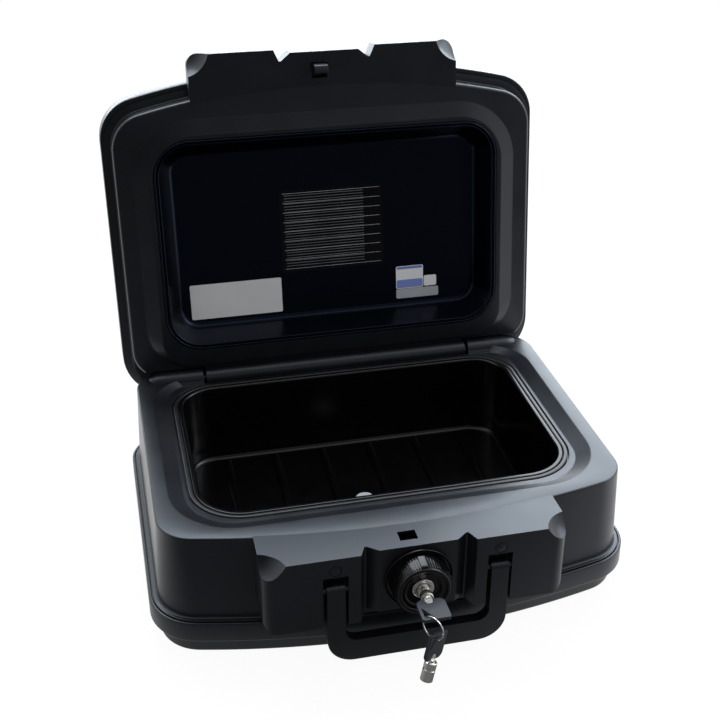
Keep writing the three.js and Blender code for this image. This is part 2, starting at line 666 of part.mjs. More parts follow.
// Plug in the filling hole of the liner's floor
function fillPlug() {
  const y = (OPENING_FRONT + OPENING_REAR) / 2;
  const low = TUB_FLOOR_Z + SEAT_GAP;
  const profile = [
    [0, TUB_FLOOR_Z - TUB_WALL],
    [FILL_PLUG_STEM, TUB_FLOOR_Z - TUB_WALL],
    [FILL_PLUG_STEM, low],
    [FILL_PLUG_RADIUS, low],
    [FILL_PLUG_RADIUS, low + FILL_PLUG_RISE * 0.4],
    [FILL_PLUG_RADIUS * 0.85, low + FILL_PLUG_RISE * 0.8],
    [FILL_PLUG_RADIUS * 0.45, low + FILL_PLUG_RISE],
    [0, low + FILL_PLUG_RISE],
  ];
  const geometry = new THREE.LatheGeometry(profile.map(([r, z]) => new THREE.Vector2(r, z)), 24);
  geometry.rotateX(Math.PI / 2);
  geometry.translate(0, y, 0);
  return outwardSolid(geometry);
}

// Cast insulation between the shell and the liner
function baseInsulation() {
  const outer = -SHELL_WALL - SEAT_GAP;
  const low = FOOT_OUTSET + outer;
  const floorOffset = -TUB_DRAFT - TUB_FILLET;
  return loft([
    level(BODY, low - 2, TRAY_FLOOR + SEAT_GAP),
    level(BODY, low, TRAY_FLOOR + SEAT_GAP + 2),
    level(BODY, low, BAND_BOTTOM_Z - 1),
    level(BODY, outer, LEDGE_Z - SEAM_STEP - 1),
    level(BODY, outer, BASE_FILL_TOP),
    level(OPENING, TUB_WALL + SEAT_GAP, BASE_FILL_TOP),
    ...roundLevels(OPENING, floorOffset, TUB_FLOOR_Z + TUB_FILLET, TUB_FILLET + TUB_WALL + 0.7, 0, -60, 2),
    level(OPENING, floorOffset, TUB_FLOOR_Z - TUB_WALL - SEAT_GAP),
  ]);
}

function gasket() {
  const inner = CHANNEL_INNER + SEAT_GAP;
  const outer = inner + GASKET_WIDTH;
  const top = RECESS_Z + 0.1;
  return loft([
    level(OPENING, inner, CHANNEL_Z + SEAT_GAP),
    level(OPENING, outer, CHANNEL_Z + SEAT_GAP),
    level(OPENING, outer, top - 0.8),
    level(OPENING, outer - 0.9, top),
    level(OPENING, inner + 0.9, top),
    level(OPENING, inner, top - 0.8),
  ], true);
}

// Plan of a latch housing: rounded outer edges, two V grooves and a centre panel set back between them
function housingPlan() {
  const half = HOUSING_WIDTH / 2;
  const r = HOUSING_EDGE_RADIUS;
  const seat = BOW_RADIUS + SEAT_GAP;
  const sweep = Math.asin(half / seat);
  const shape = new THREE.Shape();
  const apexY = HOUSING_FRONT + GROOVE_DEPTH;
  shape.moveTo(-half, HOUSING_FRONT + r);
  shape.absarc(r - half, HOUSING_FRONT + r, r, Math.PI, Math.PI * 1.5);
  shape.lineTo(-GROOVE_OUTER_X, HOUSING_FRONT);
  shape.lineTo(-GROOVE_APEX_X, apexY);
  shape.lineTo(GROOVE_APEX_WIDTH - GROOVE_APEX_X, apexY);
  shape.lineTo(-GROOVE_INNER_X, PANEL_FRONT);
  shape.lineTo(GROOVE_INNER_X, PANEL_FRONT);
  shape.lineTo(GROOVE_APEX_X - GROOVE_APEX_WIDTH, apexY);
  shape.lineTo(GROOVE_APEX_X, apexY);
  shape.lineTo(GROOVE_OUTER_X, HOUSING_FRONT);
  shape.lineTo(half - r, HOUSING_FRONT);
  shape.absarc(half - r, HOUSING_FRONT + r, r, -Math.PI / 2, 0);
  shape.absarc(0, BOW_CENTRE_Y, seat, -Math.PI / 2 + sweep, -Math.PI / 2 - sweep, true);
  return shape;
}

function fingerScoop(side, z) {
  const geometry = new THREE.SphereGeometry(SCOOP_RADIUS, 32, 24);
  geometry.translate(side * (HOUSING_WIDTH / 2 + SCOOP_OFFSET), HOUSING_FRONT - SCOOP_OFFSET, z);
  return outwardSolid(geometry);
}

// Cover of the latch on the base's front
function latchHousing() {
  const half = HOUSING_WIDTH / 2;
  const face = roundedRectangle(-half, half, HOUSING_BOTTOM, PARTING_Z,
    [HOUSING_FOOT_RADIUS, HOUSING_FOOT_RADIUS, 0, 0]);
  const body = prism(housingPlan(), 'z', HOUSING_BOTTOM, PARTING_Z, 6)
    .intersect(prism(face, 'y', HOUSING_FRONT - 1, BODY_FRONT + 40, 6));
  const behind = BODY_FRONT + 40;
  const roomFloor = HOUSING_BOTTOM + PANEL_BOTTOM_STEP + HOUSING_WALL;
  const roomTop = PARTING_Z - HOUSING_WALL;
  const tools = [
    fingerScoop(-1, PARTING_Z + SCOOP_RISE),
    fingerScoop(1, PARTING_Z + SCOOP_RISE),
    block(-GROOVE_APEX_X, GROOVE_APEX_X, HOUSING_FRONT - 1, HOUSING_FRONT + GROOVE_DEPTH,
      HOUSING_BOTTOM - 1, HOUSING_BOTTOM + PANEL_BOTTOM_STEP),
    block(-LATCH_ROOM_WIDTH / 2, LATCH_ROOM_WIDTH / 2, HOUSING_FRONT + LATCH_ROOM_DEPTH, behind, roomFloor, roomTop),
    block(-KNOB_ROOM_WIDTH / 2, KNOB_ROOM_WIDTH / 2, PANEL_FRONT + HOUSING_WALL, behind, roomFloor, roomTop),
    block(SLOT_X - SLOT_WIDTH / 2, SLOT_X + SLOT_WIDTH / 2, SLOT_FRONT, SLOT_REAR, roomTop - 1, PARTING_Z + 1),
    disc('y', 0, KNOB_Z, SPINDLE_RADIUS + 2 * SEAT_GAP, PANEL_FRONT - 1, PANEL_FRONT + HOUSING_WALL + 1, 24),
  ];
  for (const side of [-1, 1]) {
    const x = side * HANDLE_ARM_X;
    const capZ = PARTING_Z - CAP_DROP;
    tools.push(block(x - HANDLE_SLOT_WIDTH / 2, x + HANDLE_SLOT_WIDTH / 2, HOUSING_FRONT - 1,
      HANDLE_FRONT + HANDLE_THICKNESS + HANDLE_SLOT_BACK_GAP, HOUSING_BOTTOM - 1, HANDLE_SLOT_TOP));
    tools.push(disc('x', HANDLE_PIVOT_Y, HANDLE_PIVOT_Z, HANDLE_PIN_RADIUS + HANDLE_PIN_CLEARANCE,
      x - HANDLE_SLOT_WIDTH / 2 - HANDLE_PIN_BITE - SEAT_GAP, x + HANDLE_SLOT_WIDTH / 2 + HANDLE_PIN_BITE + SEAT_GAP, 16));
    tools.push(disc('y', x, capZ, CAP_RADIUS + SEAT_GAP, HOUSING_FRONT - 1,
      HOUSING_FRONT + CAP_THICKNESS + 2 * SEAT_GAP + SCREW_HEAD_THICKNESS + SEAT_GAP, 20));
    tools.push(disc('y', x, capZ, SCREW_SHANK_RADIUS + SEAT_GAP, HOUSING_FRONT, behind, 12));
  }
  return cut(body, ...tools);
}

// Its counterpart on the lid, with a bevelled top
function lidHousing() {
  const top = LID_LEDGE_Z - SEAT_GAP;
  const side = new THREE.Shape();
  side.moveTo(HOUSING_FRONT - 1, LID_Z);
  side.lineTo(BODY_FRONT + 40, LID_Z);
  side.lineTo(BODY_FRONT + 40, top);
  side.lineTo(BODY_FRONT - SEAM_OUTSET, top);
  side.lineTo(HOUSING_FRONT, LID_Z + LID_HOUSING_FACE);
  side.lineTo(HOUSING_FRONT - 1, LID_Z + LID_HOUSING_FACE);
  const body = prism(housingPlan(), 'z', LID_Z, top, 6)
    .intersect(prism(side, 'x', -HOUSING_WIDTH, HOUSING_WIDTH));
  const slot = block(SLOT_X - SLOT_WIDTH / 2, SLOT_X + SLOT_WIDTH / 2, SLOT_FRONT + 1.5, SLOT_REAR,
    LID_Z - 1, LID_Z + HOOK_ROOT + 1);
  return cut(body, fingerScoop(-1, LID_Z - SCOOP_RISE), fingerScoop(1, LID_Z - SCOOP_RISE), slot);
}

// Rim of the lid: wall, land, the plug that enters the recess, and the hinge barrel on its web
function lidRim() {
  const notchZ = LID_Z + LID_NOTCH_HEIGHT;
  const skin = loft([
    level(BODY, SEAM_OUTSET, LID_LEDGE_Z + SEAM_STEP),
    level(BODY, SEAM_OUTSET, LID_LEDGE_Z + 0.4),
    level(BODY, SEAM_OUTSET - 0.4, LID_LEDGE_Z),
    level(BODY, 0, LID_LEDGE_Z),
    level(BODY, 0, notchZ),
    level(LID_LOW, 0, notchZ),
    ...roundLevels(LID_LOW, -RIM_ROUND, LID_Z + RIM_ROUND, RIM_ROUND, 0, -90, 2),
    level(PLUG, 0, LID_Z),
    level(PLUG_FACE, 0, PLUG_Z),
    level(CAVITY, PAN_LIP + SEAT_GAP, PLUG_Z),
    level(CAVITY, PAN_LIP + SEAT_GAP, PLUG_Z + SHELL_WALL),
    level(PLUG_FACE, -1, PLUG_Z + SHELL_WALL),
    level(PLUG, -SHELL_WALL, LID_Z + SHELL_WALL),
    level(LID_LOW, -SHELL_WALL, LID_Z + SHELL_WALL),
    level(LID_LOW, -SHELL_WALL, notchZ + SHELL_WALL),
    level(BODY, -SHELL_WALL, notchZ + SHELL_WALL),
    level(BODY, -SHELL_WALL, LID_LEDGE_Z + SEAM_STEP),
  ], true);
  const half = BARREL_LENGTH / 2;
  const barrel = disc('x', HINGE_Y, HINGE_Z, BARREL_RADIUS, -half, half, 24);
  const web = block(-half, half, LID_REAR_LOW - 1, HINGE_Y + BARREL_RADIUS / 3, LID_Z, LID_Z + WEB_HEIGHT);
  const bore = disc('x', HINGE_Y, HINGE_Z, PIN_RADIUS + PIN_CLEARANCE, half - PIN_LENGTH / 2, half + 1, 16);
  return cut(union(solid(skin), barrel, web), bore, bore.mirror([1, 0, 0]));
}

// Cover of the lid: bumper band and crown
function lidCover() {
  const band = LID_BAND_OUTSET;
  const inner = SEAM_OUTSET + SEAM_WIDTH;
  const stepZ = LID_LEDGE_Z + SEAM_STEP + SEAT_GAP;
  const crown = CROWN_OUTSET - CROWN_RADIUS;
  return loft([
    level(BODY, -CROWN_DOME_INSET, CROWN_Z - SHELL_WALL),
    ...roundLevels(BODY, crown, CROWN_Z - CROWN_DOME_DROP - CROWN_RADIUS, CROWN_RADIUS - SHELL_WALL, 90, 0),
    level(BODY, CROWN_OUTSET - SHELL_WALL, LID_BAND_TOP - 1),
    level(BODY, inner - SEAM_STEP, LID_BAND_TOP - SHELL_WALL - 1),
    level(BODY, inner - SEAM_STEP, stepZ),
    level(BODY, inner, stepZ),
    level(BODY, inner, LID_LEDGE_Z + 0.5),
    ...roundLevels(LID_BAND, band - 1.2, LID_LEDGE_Z + 1.7, 1.2, -90, 0, 2),
    ...roundLevels(LID_BAND, band - 3, LID_BAND_TOP - 3, 3, 0, 90),
    level(BODY, CROWN_OUTSET, LID_BAND_TOP),
    ...roundLevels(BODY, crown, CROWN_Z - CROWN_DOME_DROP - CROWN_RADIUS, CROWN_RADIUS, 0, 90, 4),
    level(BODY, -CROWN_DOME_INSET, CROWN_Z),
  ]);
}

// Pan that lines the lid's cavity
function lidPan() {
  const floorOffset = -CAVITY_DRAFT - CAVITY_FILLET;
  const lip = PLUG_Z + PAN_LIP_RISE;
  return loft([
    level(CAVITY, floorOffset, CAVITY_Z + TUB_WALL),
    ...roundLevels(CAVITY, floorOffset, CAVITY_Z - CAVITY_FILLET, CAVITY_FILLET + TUB_WALL, 60, 0, 2),
    level(CAVITY, PAN_LIP - 0.6, PLUG_Z + SHELL_WALL + 1.2),
    level(CAVITY, PAN_LIP, PLUG_Z + SHELL_WALL),
    level(CAVITY, PAN_LIP, lip + 0.5),
    level(CAVITY, PAN_LIP - 0.6, lip),
    level(CAVITY, 0.6, lip),
    level(CAVITY, 0, lip + 0.6),
    ...roundLevels(CAVITY, floorOffset, CAVITY_Z - CAVITY_FILLET, CAVITY_FILLET, 0, 90, 4),
  ]);
}

function lidInsulation() {
  const outer = -SHELL_WALL - SEAT_GAP;
  const floorOffset = -CAVITY_DRAFT - CAVITY_FILLET;
  const low = LID_Z + LID_NOTCH_HEIGHT + SHELL_WALL + SEAT_GAP;
  const top = CROWN_Z - CROWN_DOME_DROP - SHELL_WALL - SEAT_GAP;
  return loft([
    level(CAVITY, floorOffset, CAVITY_Z + TUB_WALL + SEAT_GAP),
    ...roundLevels(CAVITY, floorOffset, CAVITY_Z - CAVITY_FILLET, CAVITY_FILLET + TUB_WALL + 0.7, 60, 15, 2),
    level(CAVITY, 0.5, low),
    level(BODY, outer, low),
    level(BODY, outer, LID_BAND_TOP),
    level(BODY, CROWN_OUTSET - CROWN_RADIUS - 1, top),
  ]);
}

// Hook under the lid: a blade with a foot that the cam's finger slides over
function lidHook() {
  const front = SLOT_FRONT + HOOK_FRONT_GAP;
  const footTop = PARTING_Z - HOOK_FOOT_DROP;
  const side = new THREE.Shape();
  side.moveTo(front, footTop - HOOK_FOOT_THICKNESS + 1);
  side.lineTo(front + 1, footTop - HOOK_FOOT_THICKNESS);
  side.lineTo(front + HOOK_FOOT_LENGTH, footTop - HOOK_FOOT_THICKNESS);
  side.lineTo(front + HOOK_FOOT_LENGTH, footTop);
  side.lineTo(front + HOOK_THICKNESS, footTop);
  side.lineTo(front + HOOK_THICKNESS, LID_Z + HOOK_ROOT);
  side.lineTo(front, LID_Z + HOOK_ROOT);
  return prism(side, 'x', SLOT_X - HOOK_WIDTH / 2, SLOT_X + HOOK_WIDTH / 2);
}

function hingePin(side) {
  const start = FAIRING_START - HINGE_END_GAP / 2;
  const [from, to] = [start - PIN_LENGTH / 2 + 1, start + PIN_LENGTH / 2 - 1].map((x) => side * x).sort((a, b) => a - b);
  return disc('x', HINGE_Y, HINGE_Z, PIN_RADIUS, from, to, 16);
}

function escutcheon() {
  const back = PANEL_FRONT - SEAT_GAP;
  const bore = SPINDLE_RADIUS + 2 * SEAT_GAP;
  return turnedAlongY([
    [bore, back],
    [ESCUTCHEON_RADIUS, back],
    [ESCUTCHEON_RADIUS, back - 1.6],
    [ESCUTCHEON_RADIUS - 1.4, ESCUTCHEON_FRONT + 1],
    [KNOB_RADIUS + 1.2, ESCUTCHEON_FRONT],
    [bore, ESCUTCHEON_FRONT],
    [bore, back],
  ], 0, KNOB_Z, 40);
}

// Ribbed grip with one wide index rib at the top
function knob() {
  const grip = new THREE.Shape();
  const foot = KNOB_RADIUS - KNOB_RIB_HEIGHT;
  const pitch = (Math.PI * 2) / KNOB_RIBS;
  const at = (radius, angle) => [radius * Math.sin(angle), KNOB_Z + radius * Math.cos(angle)];
  const indexHalf = (KNOB_INDEX_RIBS / 2) * pitch * 0.8;
  grip.moveTo(...at(KNOB_RADIUS + 0.8, -indexHalf));
  grip.lineTo(...at(KNOB_RADIUS + 0.8, indexHalf));
  for (let i = 2; i <= KNOB_RIBS - 2; i += 1) {
    const middle = i * pitch;
    if (Math.abs(middle - Math.PI) > Math.PI - indexHalf - pitch / 2) continue;
    grip.lineTo(...at(foot, middle - pitch * 0.32));
    grip.lineTo(...at(KNOB_RADIUS, middle - pitch * 0.16));
    grip.lineTo(...at(KNOB_RADIUS, middle + pitch * 0.16));
    grip.lineTo(...at(foot, middle + pitch * 0.32));
  }
  const faceStart = KNOB_FRONT + KNOB_FACE_BEVEL;
  const body = prism(grip, 'y', faceStart, KNOB_BACK, 1);
  const face = turnedAlongY([
    [0, faceStart],
    [KNOB_RADIUS - KNOB_RIB_HEIGHT - 0.2, faceStart],
    [KNOB_FACE_RADIUS + 0.4, KNOB_FRONT + 0.6],
    [KNOB_FACE_RADIUS - 0.6, KNOB_FRONT],
    [KNOB_DISH_RADIUS, KNOB_FRONT],
    [KNOB_DISH_RADIUS - 0.8, KNOB_FRONT + KNOB_DISH_DEPTH],
    [KNOB_BOSS_RADIUS, KNOB_FRONT + KNOB_DISH_DEPTH],
    [KNOB_BOSS_RADIUS - 0.6, KNOB_FRONT + 0.8],
    [0, KNOB_FRONT + 0.8],
  ], 0, KNOB_Z, 40);
  return cut(union(body, face), disc('y', 0, KNOB_Z, LOCK_BODY_RADIUS + SEAT_GAP, KNOB_FRONT - 1, KNOB_BACK + 1));
}

// Hollow spindle behind the knob, with a collar against its back
function knobSpindle() {
  const collar = tube('y', 0, KNOB_Z, SPINDLE_RADIUS, SPINDLE_BORE, KNOB_BACK + SEAT_GAP, CAM_Y - SEAT_GAP - NUT_THICKNESS);
  const tip = tube('y', 0, KNOB_Z, SPINDLE_RADIUS - 1.5, SPINDLE_BORE, CAM_Y - SEAT_GAP - NUT_THICKNESS - 1,
    CAM_Y + CAM_THICKNESS + 1);
  return union(collar, tip);
}

// Cam plate: a hub, an arm and a finger that sweeps over the hook's foot. Angles run clockwise from the top
function latchCam() {
  const at = (radius, degrees) => {
    const angle = THREE.MathUtils.degToRad(degrees);
    return [radius * Math.sin(angle), KNOB_Z + radius * Math.cos(angle)];
  };
  const shape = new THREE.Shape();
  const steps = 8;
  shape.moveTo(...at(CAM_HUB_RADIUS, CAM_ARM_START));
  for (let i = 0; i <= steps; i += 1) {
    shape.lineTo(...at(CAM_INNER_RADIUS, THREE.MathUtils.lerp(CAM_ARM_START, CAM_FINGER_LEAD, i / steps)));
  }
  for (let i = 0; i <= steps; i += 1) {
    shape.lineTo(...at(CAM_OUTER_RADIUS, THREE.MathUtils.lerp(CAM_FINGER_LEAD + 2, CAM_ARM_END, i / steps)));
  }
  shape.lineTo(...at(CAM_HUB_RADIUS, CAM_ARM_END + 8));
  for (let i = 1; i < 12; i += 1) {
    shape.lineTo(...at(CAM_HUB_RADIUS, THREE.MathUtils.lerp(CAM_ARM_END + 8, 360 + CAM_ARM_START, i / 12)));
  }
  const bore = disc('y', 0, KNOB_Z, SPINDLE_RADIUS - 1.5 + SEAT_GAP, CAM_Y - 1, CAM_Y + CAM_THICKNESS + 1, 24);
  return cut(prism(shape, 'y', CAM_Y, CAM_Y + CAM_THICKNESS), bore);
}

// Hexagon nut that clamps the spindle's collar in front of the cam
function spindleNut() {
  const shape = new THREE.Shape();
  const radius = NUT_ACROSS_FLATS / Math.sqrt(3);
  for (let i = 0; i < 6; i += 1) {
    const angle = (i * Math.PI) / 3;
    const point = [radius * Math.cos(angle), KNOB_Z + radius * Math.sin(angle)];
    if (i === 0) shape.moveTo(...point);
    else shape.lineTo(...point);
  }
  const back = PANEL_FRONT + HOUSING_WALL + SEAT_GAP;
  return cut(prism(shape, 'y', back, back + NUT_THICKNESS),
    disc('y', 0, KNOB_Z, SPINDLE_RADIUS + SEAT_GAP, back - 1, back + NUT_THICKNESS + 1, 24));
}

// Tubular lock: a chromed body in the knob, and inside it the turning plug with its centre post
function lockCylinder() {
  return turnedAlongY([
    [KEYWAY_RADIUS, KNOB_BACK - 1],
    [LOCK_BODY_RADIUS, KNOB_BACK - 1],
    [LOCK_BODY_RADIUS, KNOB_FRONT + 0.8 - SEAT_GAP],
    [LOCK_HEAD_RADIUS, KNOB_FRONT + 0.8 - SEAT_GAP],
    [LOCK_HEAD_RADIUS, LOCK_FACE + 0.7],
    [LOCK_HEAD_RADIUS - 0.7, LOCK_FACE],
    [KEYWAY_RADIUS + 0.4, LOCK_FACE],
    [KEYWAY_RADIUS, LOCK_FACE + 0.4],
    [KEYWAY_RADIUS, KNOB_BACK - 1],
  ], 0, KNOB_Z);
}

function lockPlug() {
  const seat = LOCK_FACE + KEY_INSERTION + SEAT_GAP;
  const tailEnd = CAM_Y + CAM_THICKNESS + 1.5;
  return turnedAlongY([
    [0, tailEnd],
    [TAIL_RADIUS, tailEnd],
    [TAIL_RADIUS, KNOB_BACK - 1],
    [KEYWAY_RADIUS - SEAT_GAP, KNOB_BACK - 1],
    [KEYWAY_RADIUS - SEAT_GAP, seat],
    [LOCK_POST_RADIUS, seat],
    [LOCK_POST_RADIUS, LOCK_FACE + 1],
    [LOCK_POST_RADIUS - 0.5, LOCK_FACE + 0.5],
    [0, LOCK_FACE + 0.5],
  ], 0, KNOB_Z, 24);
}

// Small plate on the plug's tail that blocks the cam when the lock is turned
function lockTailpiece() {
  const from = CAM_Y + CAM_THICKNESS + 1.5 + SEAT_GAP;
  const half = TAILPIECE_WIDTH / 2;
  const shape = roundedRectangle(-half, half, KNOB_Z - half, KNOB_Z + TAILPIECE_LENGTH - half, [half, half, half, half]);
  return prism(shape, 'y', from, from + TAILPIECE_THICKNESS, 5);
}

// Key, drawn about its own axis: the tube's mouth at y = 0, the bow towards -Y and lying flat
function keyShank() {
  const tube1 = tube('y', 0, 0, KEY_TUBE_RADIUS, KEY_TUBE_BORE, -KEY_TUBE_LENGTH, 0, 24);
  const plug = disc('y', 0, 0, KEY_TUBE_RADIUS, -KEY_TUBE_LENGTH - 1.5, 1 - KEY_TUBE_LENGTH, 24);
  const neck = disc('y', 0, 0, KEY_TANG_WIDTH / 2, -KEY_TUBE_LENGTH - 3, -KEY_TUBE_LENGTH, 16);
  const half = KEY_TANG_WIDTH / 2;
  const tang = roundedRectangle(-half, half, -KEY_TUBE_LENGTH - KEY_TANG_LENGTH, -KEY_TUBE_LENGTH, [half - 0.2, half - 0.2, 0, 0]);
  return union(tube1, plug, neck, prism(tang, 'z', -BOW_THICKNESS / 2 + SEAT_GAP, BOW_THICKNESS / 2 - SEAT_GAP, 4));
}

function keyBow(shift) {
  const near = -KEY_TUBE_LENGTH - KEY_TANG_LENGTH + KEY_TANG_IN_BOW;
  const far = near - BOW_LENGTH;
  const [left, right] = [shift - BOW_WIDTH / 2, shift + BOW_WIDTH / 2];
  const shape = roundedRectangle(left, right, far, near, [BOW_CORNER, BOW_CORNER, BOW_SHOULDER, BOW_SHOULDER]);
  const hole = new THREE.Path();
  const [holeX, holeY] = [left + BOW_HOLE_EDGE, far + BOW_HOLE_EDGE];
  hole.moveTo(holeX, holeY);
  hole.lineTo(holeX, holeY + BOW_HOLE_LEG);
  hole.lineTo(holeX + BOW_HOLE_LEG, holeY);
  shape.holes.push(hole);
  const slotHalf = KEY_TANG_WIDTH / 2 + SEAT_GAP;
  const slot = roundedRectangle(-slotHalf, slotHalf, near - KEY_TANG_IN_BOW - SEAT_GAP, near + 1,
    [slotHalf - 0.2, slotHalf - 0.2, 0, 0]);
  return cut(prism(shape, 'z', -BOW_THICKNESS / 2, BOW_THICKNESS / 2, 4), prism(slot, 'z', -BOW_THICKNESS, BOW_THICKNESS, 4));
}

function keyRing() {
  const geometry = new THREE.TorusGeometry(RING_RADIUS, RING_WIRE, 8, 36);
  geometry.rotateX(Math.PI / 2);
  return outwardSolid(geometry);
}

// Bail: two arms that turn on pins in the housing's slots, and a deep bar between them
function bailHandle() {
  const outer = HANDLE_ARM_X + HANDLE_ARM_WIDTH / 2;
  const inner = HANDLE_ARM_X - HANDLE_ARM_WIDTH / 2;
  const top = HANDLE_PIVOT_Z;
  const body = prism(roundedRectangle(-outer, outer, HANDLE_BOTTOM_Z, top,
    [HANDLE_OUTER_RADIUS, HANDLE_OUTER_RADIUS, 0, 0]), 'y', HANDLE_FRONT, HANDLE_FRONT + HANDLE_THICKNESS, 6);
  const window = prism(roundedRectangle(-inner, inner, HANDLE_BOTTOM_Z + HANDLE_BAR_HEIGHT, top + 20,
    [HANDLE_INNER_RADIUS, HANDLE_INNER_RADIUS, 0, 0]), 'y', HANDLE_FRONT - 1, HANDLE_FRONT + HANDLE_THICKNESS + 1, 4);
  let bail = cut(body, window);
  for (const side of [-1, 1]) {
    const [from, to] = side > 0 ? [inner, outer] : [-outer, -inner];
    bail = bail.add(disc('x', HANDLE_PIVOT_Y, HANDLE_PIVOT_Z, HANDLE_THICKNESS / 2, from, to, 20));
    bail = bail.subtract(disc('x', HANDLE_PIVOT_Y, HANDLE_PIVOT_Z, HANDLE_PIN_RADIUS + HANDLE_PIN_CLEARANCE,
      from - 1, to + 1, 16));
  }
  return bail;
}

function handlePin(side) {
  const half = HANDLE_SLOT_WIDTH / 2 + HANDLE_PIN_BITE;
  return disc('x', HANDLE_PIVOT_Y, HANDLE_PIVOT_Z, HANDLE_PIN_RADIUS, side * HANDLE_ARM_X - half, side * HANDLE_ARM_X + half, 16);
}

// Flush cap over each of the housing's two screws
function screwCap(side) {
  return disc('y', side * HANDLE_ARM_X, PARTING_Z - CAP_DROP, CAP_RADIUS, HOUSING_FRONT + 0.1,
    HOUSING_FRONT + 0.1 + CAP_THICKNESS, 20);
}

function housingScrew(side) {
  const start = HOUSING_FRONT + 0.1 + CAP_THICKNESS + SEAT_GAP;
  const headEnd = start + SCREW_HEAD_THICKNESS;
  return turnedAlongY([
    [0, start + SCREW_LENGTH],
    [SCREW_SHANK_RADIUS, start + SCREW_LENGTH - 1],
    [SCREW_SHANK_RADIUS, headEnd],
    [SCREW_HEAD_RADIUS, headEnd],
    [SCREW_HEAD_RADIUS, start + 0.6],
    [SCREW_HEAD_RADIUS - 0.8, start],
    [0, start],
  ], side * HANDLE_ARM_X, PARTING_Z - CAP_DROP, 12);
}

// Fixed parts of the base
const safe = new THREE.Group();
safe.add(
  part('base_tray', baseTray(), PLASTIC),
  part('base_shell', baseShell(), PLASTIC),
  part('base_insulation', baseInsulation(), FILL),
  part('base_tub', baseTub(), LINER),
  part('fill_plug', fillPlug(), WHITE_PLASTIC),
  part('gasket', gasket(), RUBBER),
  part('latch_housing', latchHousing(), PLASTIC),
  part('escutcheon', escutcheon(), GLOSS),
  part('spindle_nut', spindleNut(), STEEL),
  part('hinge_pin_left', hingePin(-1), STEEL),
  part('hinge_pin_right', hingePin(1), STEEL),
  part('handle_pin_left', handlePin(-1), STEEL),
  part('handle_pin_right', handlePin(1), STEEL),
  part('screw_cap_left', screwCap(-1), PLASTIC),
  part('screw_cap_right', screwCap(1), PLASTIC),
  part('housing_screw_left', housingScrew(-1), STEEL),
  part('housing_screw_right', housingScrew(1), STEEL),
  part('bail_handle', bailHandle(), PLASTIC),
);

// The lid is drawn shut and swung open about the hinge
const lid = new THREE.Group();
lid.position.set(0, HINGE_Y, HINGE_Z);
lid.rotation.x = THREE.MathUtils.degToRad(-OPEN_ANGLE);
const lidShut = new THREE.Group();
lidShut.position.set(0, -HINGE_Y, -HINGE_Z);
lidShut.add(
  part('lid_rim', lidRim(), PLASTIC),
  part('lid_cover', lidCover(), PLASTIC),
  part('lid_insulation', lidInsulation(), FILL),
  part('lid_pan', lidPan(), LINER),
  part('lid_housing', lidHousing(), PLASTIC),
  part('lid_hook', lidHook(), PLASTIC),
);
lid.add(lidShut);
safe.add(lid);

// Knob, lock and cam
safe.add(
  part('knob', knob(), GLOSS),
  part('knob_spindle', knobSpindle(), STEEL),
  part('latch_cam', latchCam(), STEEL),
  part('lock_cylinder', lockCylinder(), CHROME),
  part('lock_plug', lockPlug(), BRASS),
  part('lock_tailpiece', lockTailpiece(), STEEL),
);

// Key in the lock
const key = new THREE.Group();
key.position.set(0, LOCK_FACE + KEY_INSERTION, KNOB_Z);
key.add(part('key_shank', keyShank(), STEEL), part('key_bow', keyBow(BOW_SIDE_SHIFT), KEY_GREY));
safe.add(key);

// The ring hangs through the hole of the bow and round its front edge
const bowFar = LOCK_FACE + KEY_INSERTION - KEY_TUBE_LENGTH - KEY_TANG_LENGTH + KEY_TANG_IN_BOW - BOW_LENGTH;
const ringX = BOW_SIDE_SHIFT - BOW_WIDTH / 2 + RING_INSET;
const ringY = bowFar - RING_LEAD;
const ring = new THREE.Group();
ring.position.set(ringX, ringY, KNOB_Z - RING_DROP);
ring.rotation.z = THREE.MathUtils.degToRad(-RING_TURN);
ring.add(part('key_ring', keyRing(), STEEL));
safe.add(ring);

// The spare key hangs on the ring's lowest point by the corner of its own bow
const spare = new THREE.Group();
spare.position.set(ringX, ringY, KNOB_Z - RING_DROP - RING_RADIUS);
spare.rotation.set(0, 0, THREE.MathUtils.degToRad(SPARE_TURN));
const spareTilt = new THREE.Group();
spareTilt.rotation.y = THREE.MathUtils.degToRad(SPARE_TILT);
const spareUpright = new THREE.Group();
const bowCorner = -KEY_TUBE_LENGTH - KEY_TANG_LENGTH + KEY_TANG_IN_BOW - BOW_LENGTH + BOW_HOLE_EDGE;
spareUpright.rotation.x = -Math.PI / 2;
const sparePlace = new THREE.Group();
sparePlace.position.set(BOW_WIDTH / 2 - BOW_HOLE_EDGE - RING_WIRE * 2.5, -bowCorner - RING_WIRE - SEAT_GAP, 0);
sparePlace.add(part('spare_key_shank', keyShank(), STEEL), part('spare_key_bow', keyBow(0), KEY_GREY));
spareUpright.add(sparePlace);
spareTilt.add(spareUpright);
spare.add(spareTilt);
safe.add(spare);

export default safe;
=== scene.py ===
"""A fire-resistant data safe, dressed for a studio picture.

Satin mouldings, glossy liners, a knob latch with its keys, a bail handle and bare stickers are built here and
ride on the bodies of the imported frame. Sizes are in millimetres, and become metres where a mesh is made.
"""
import logging
import math
from dataclasses import dataclass, field
from enum import Enum

import bmesh
import bpy
from bmesh.types import BMEdge, BMesh, BMVert
from bpy.types import ID, Material, NodeSocket, NodeTree, Object
from mathutils import Matrix, Vector


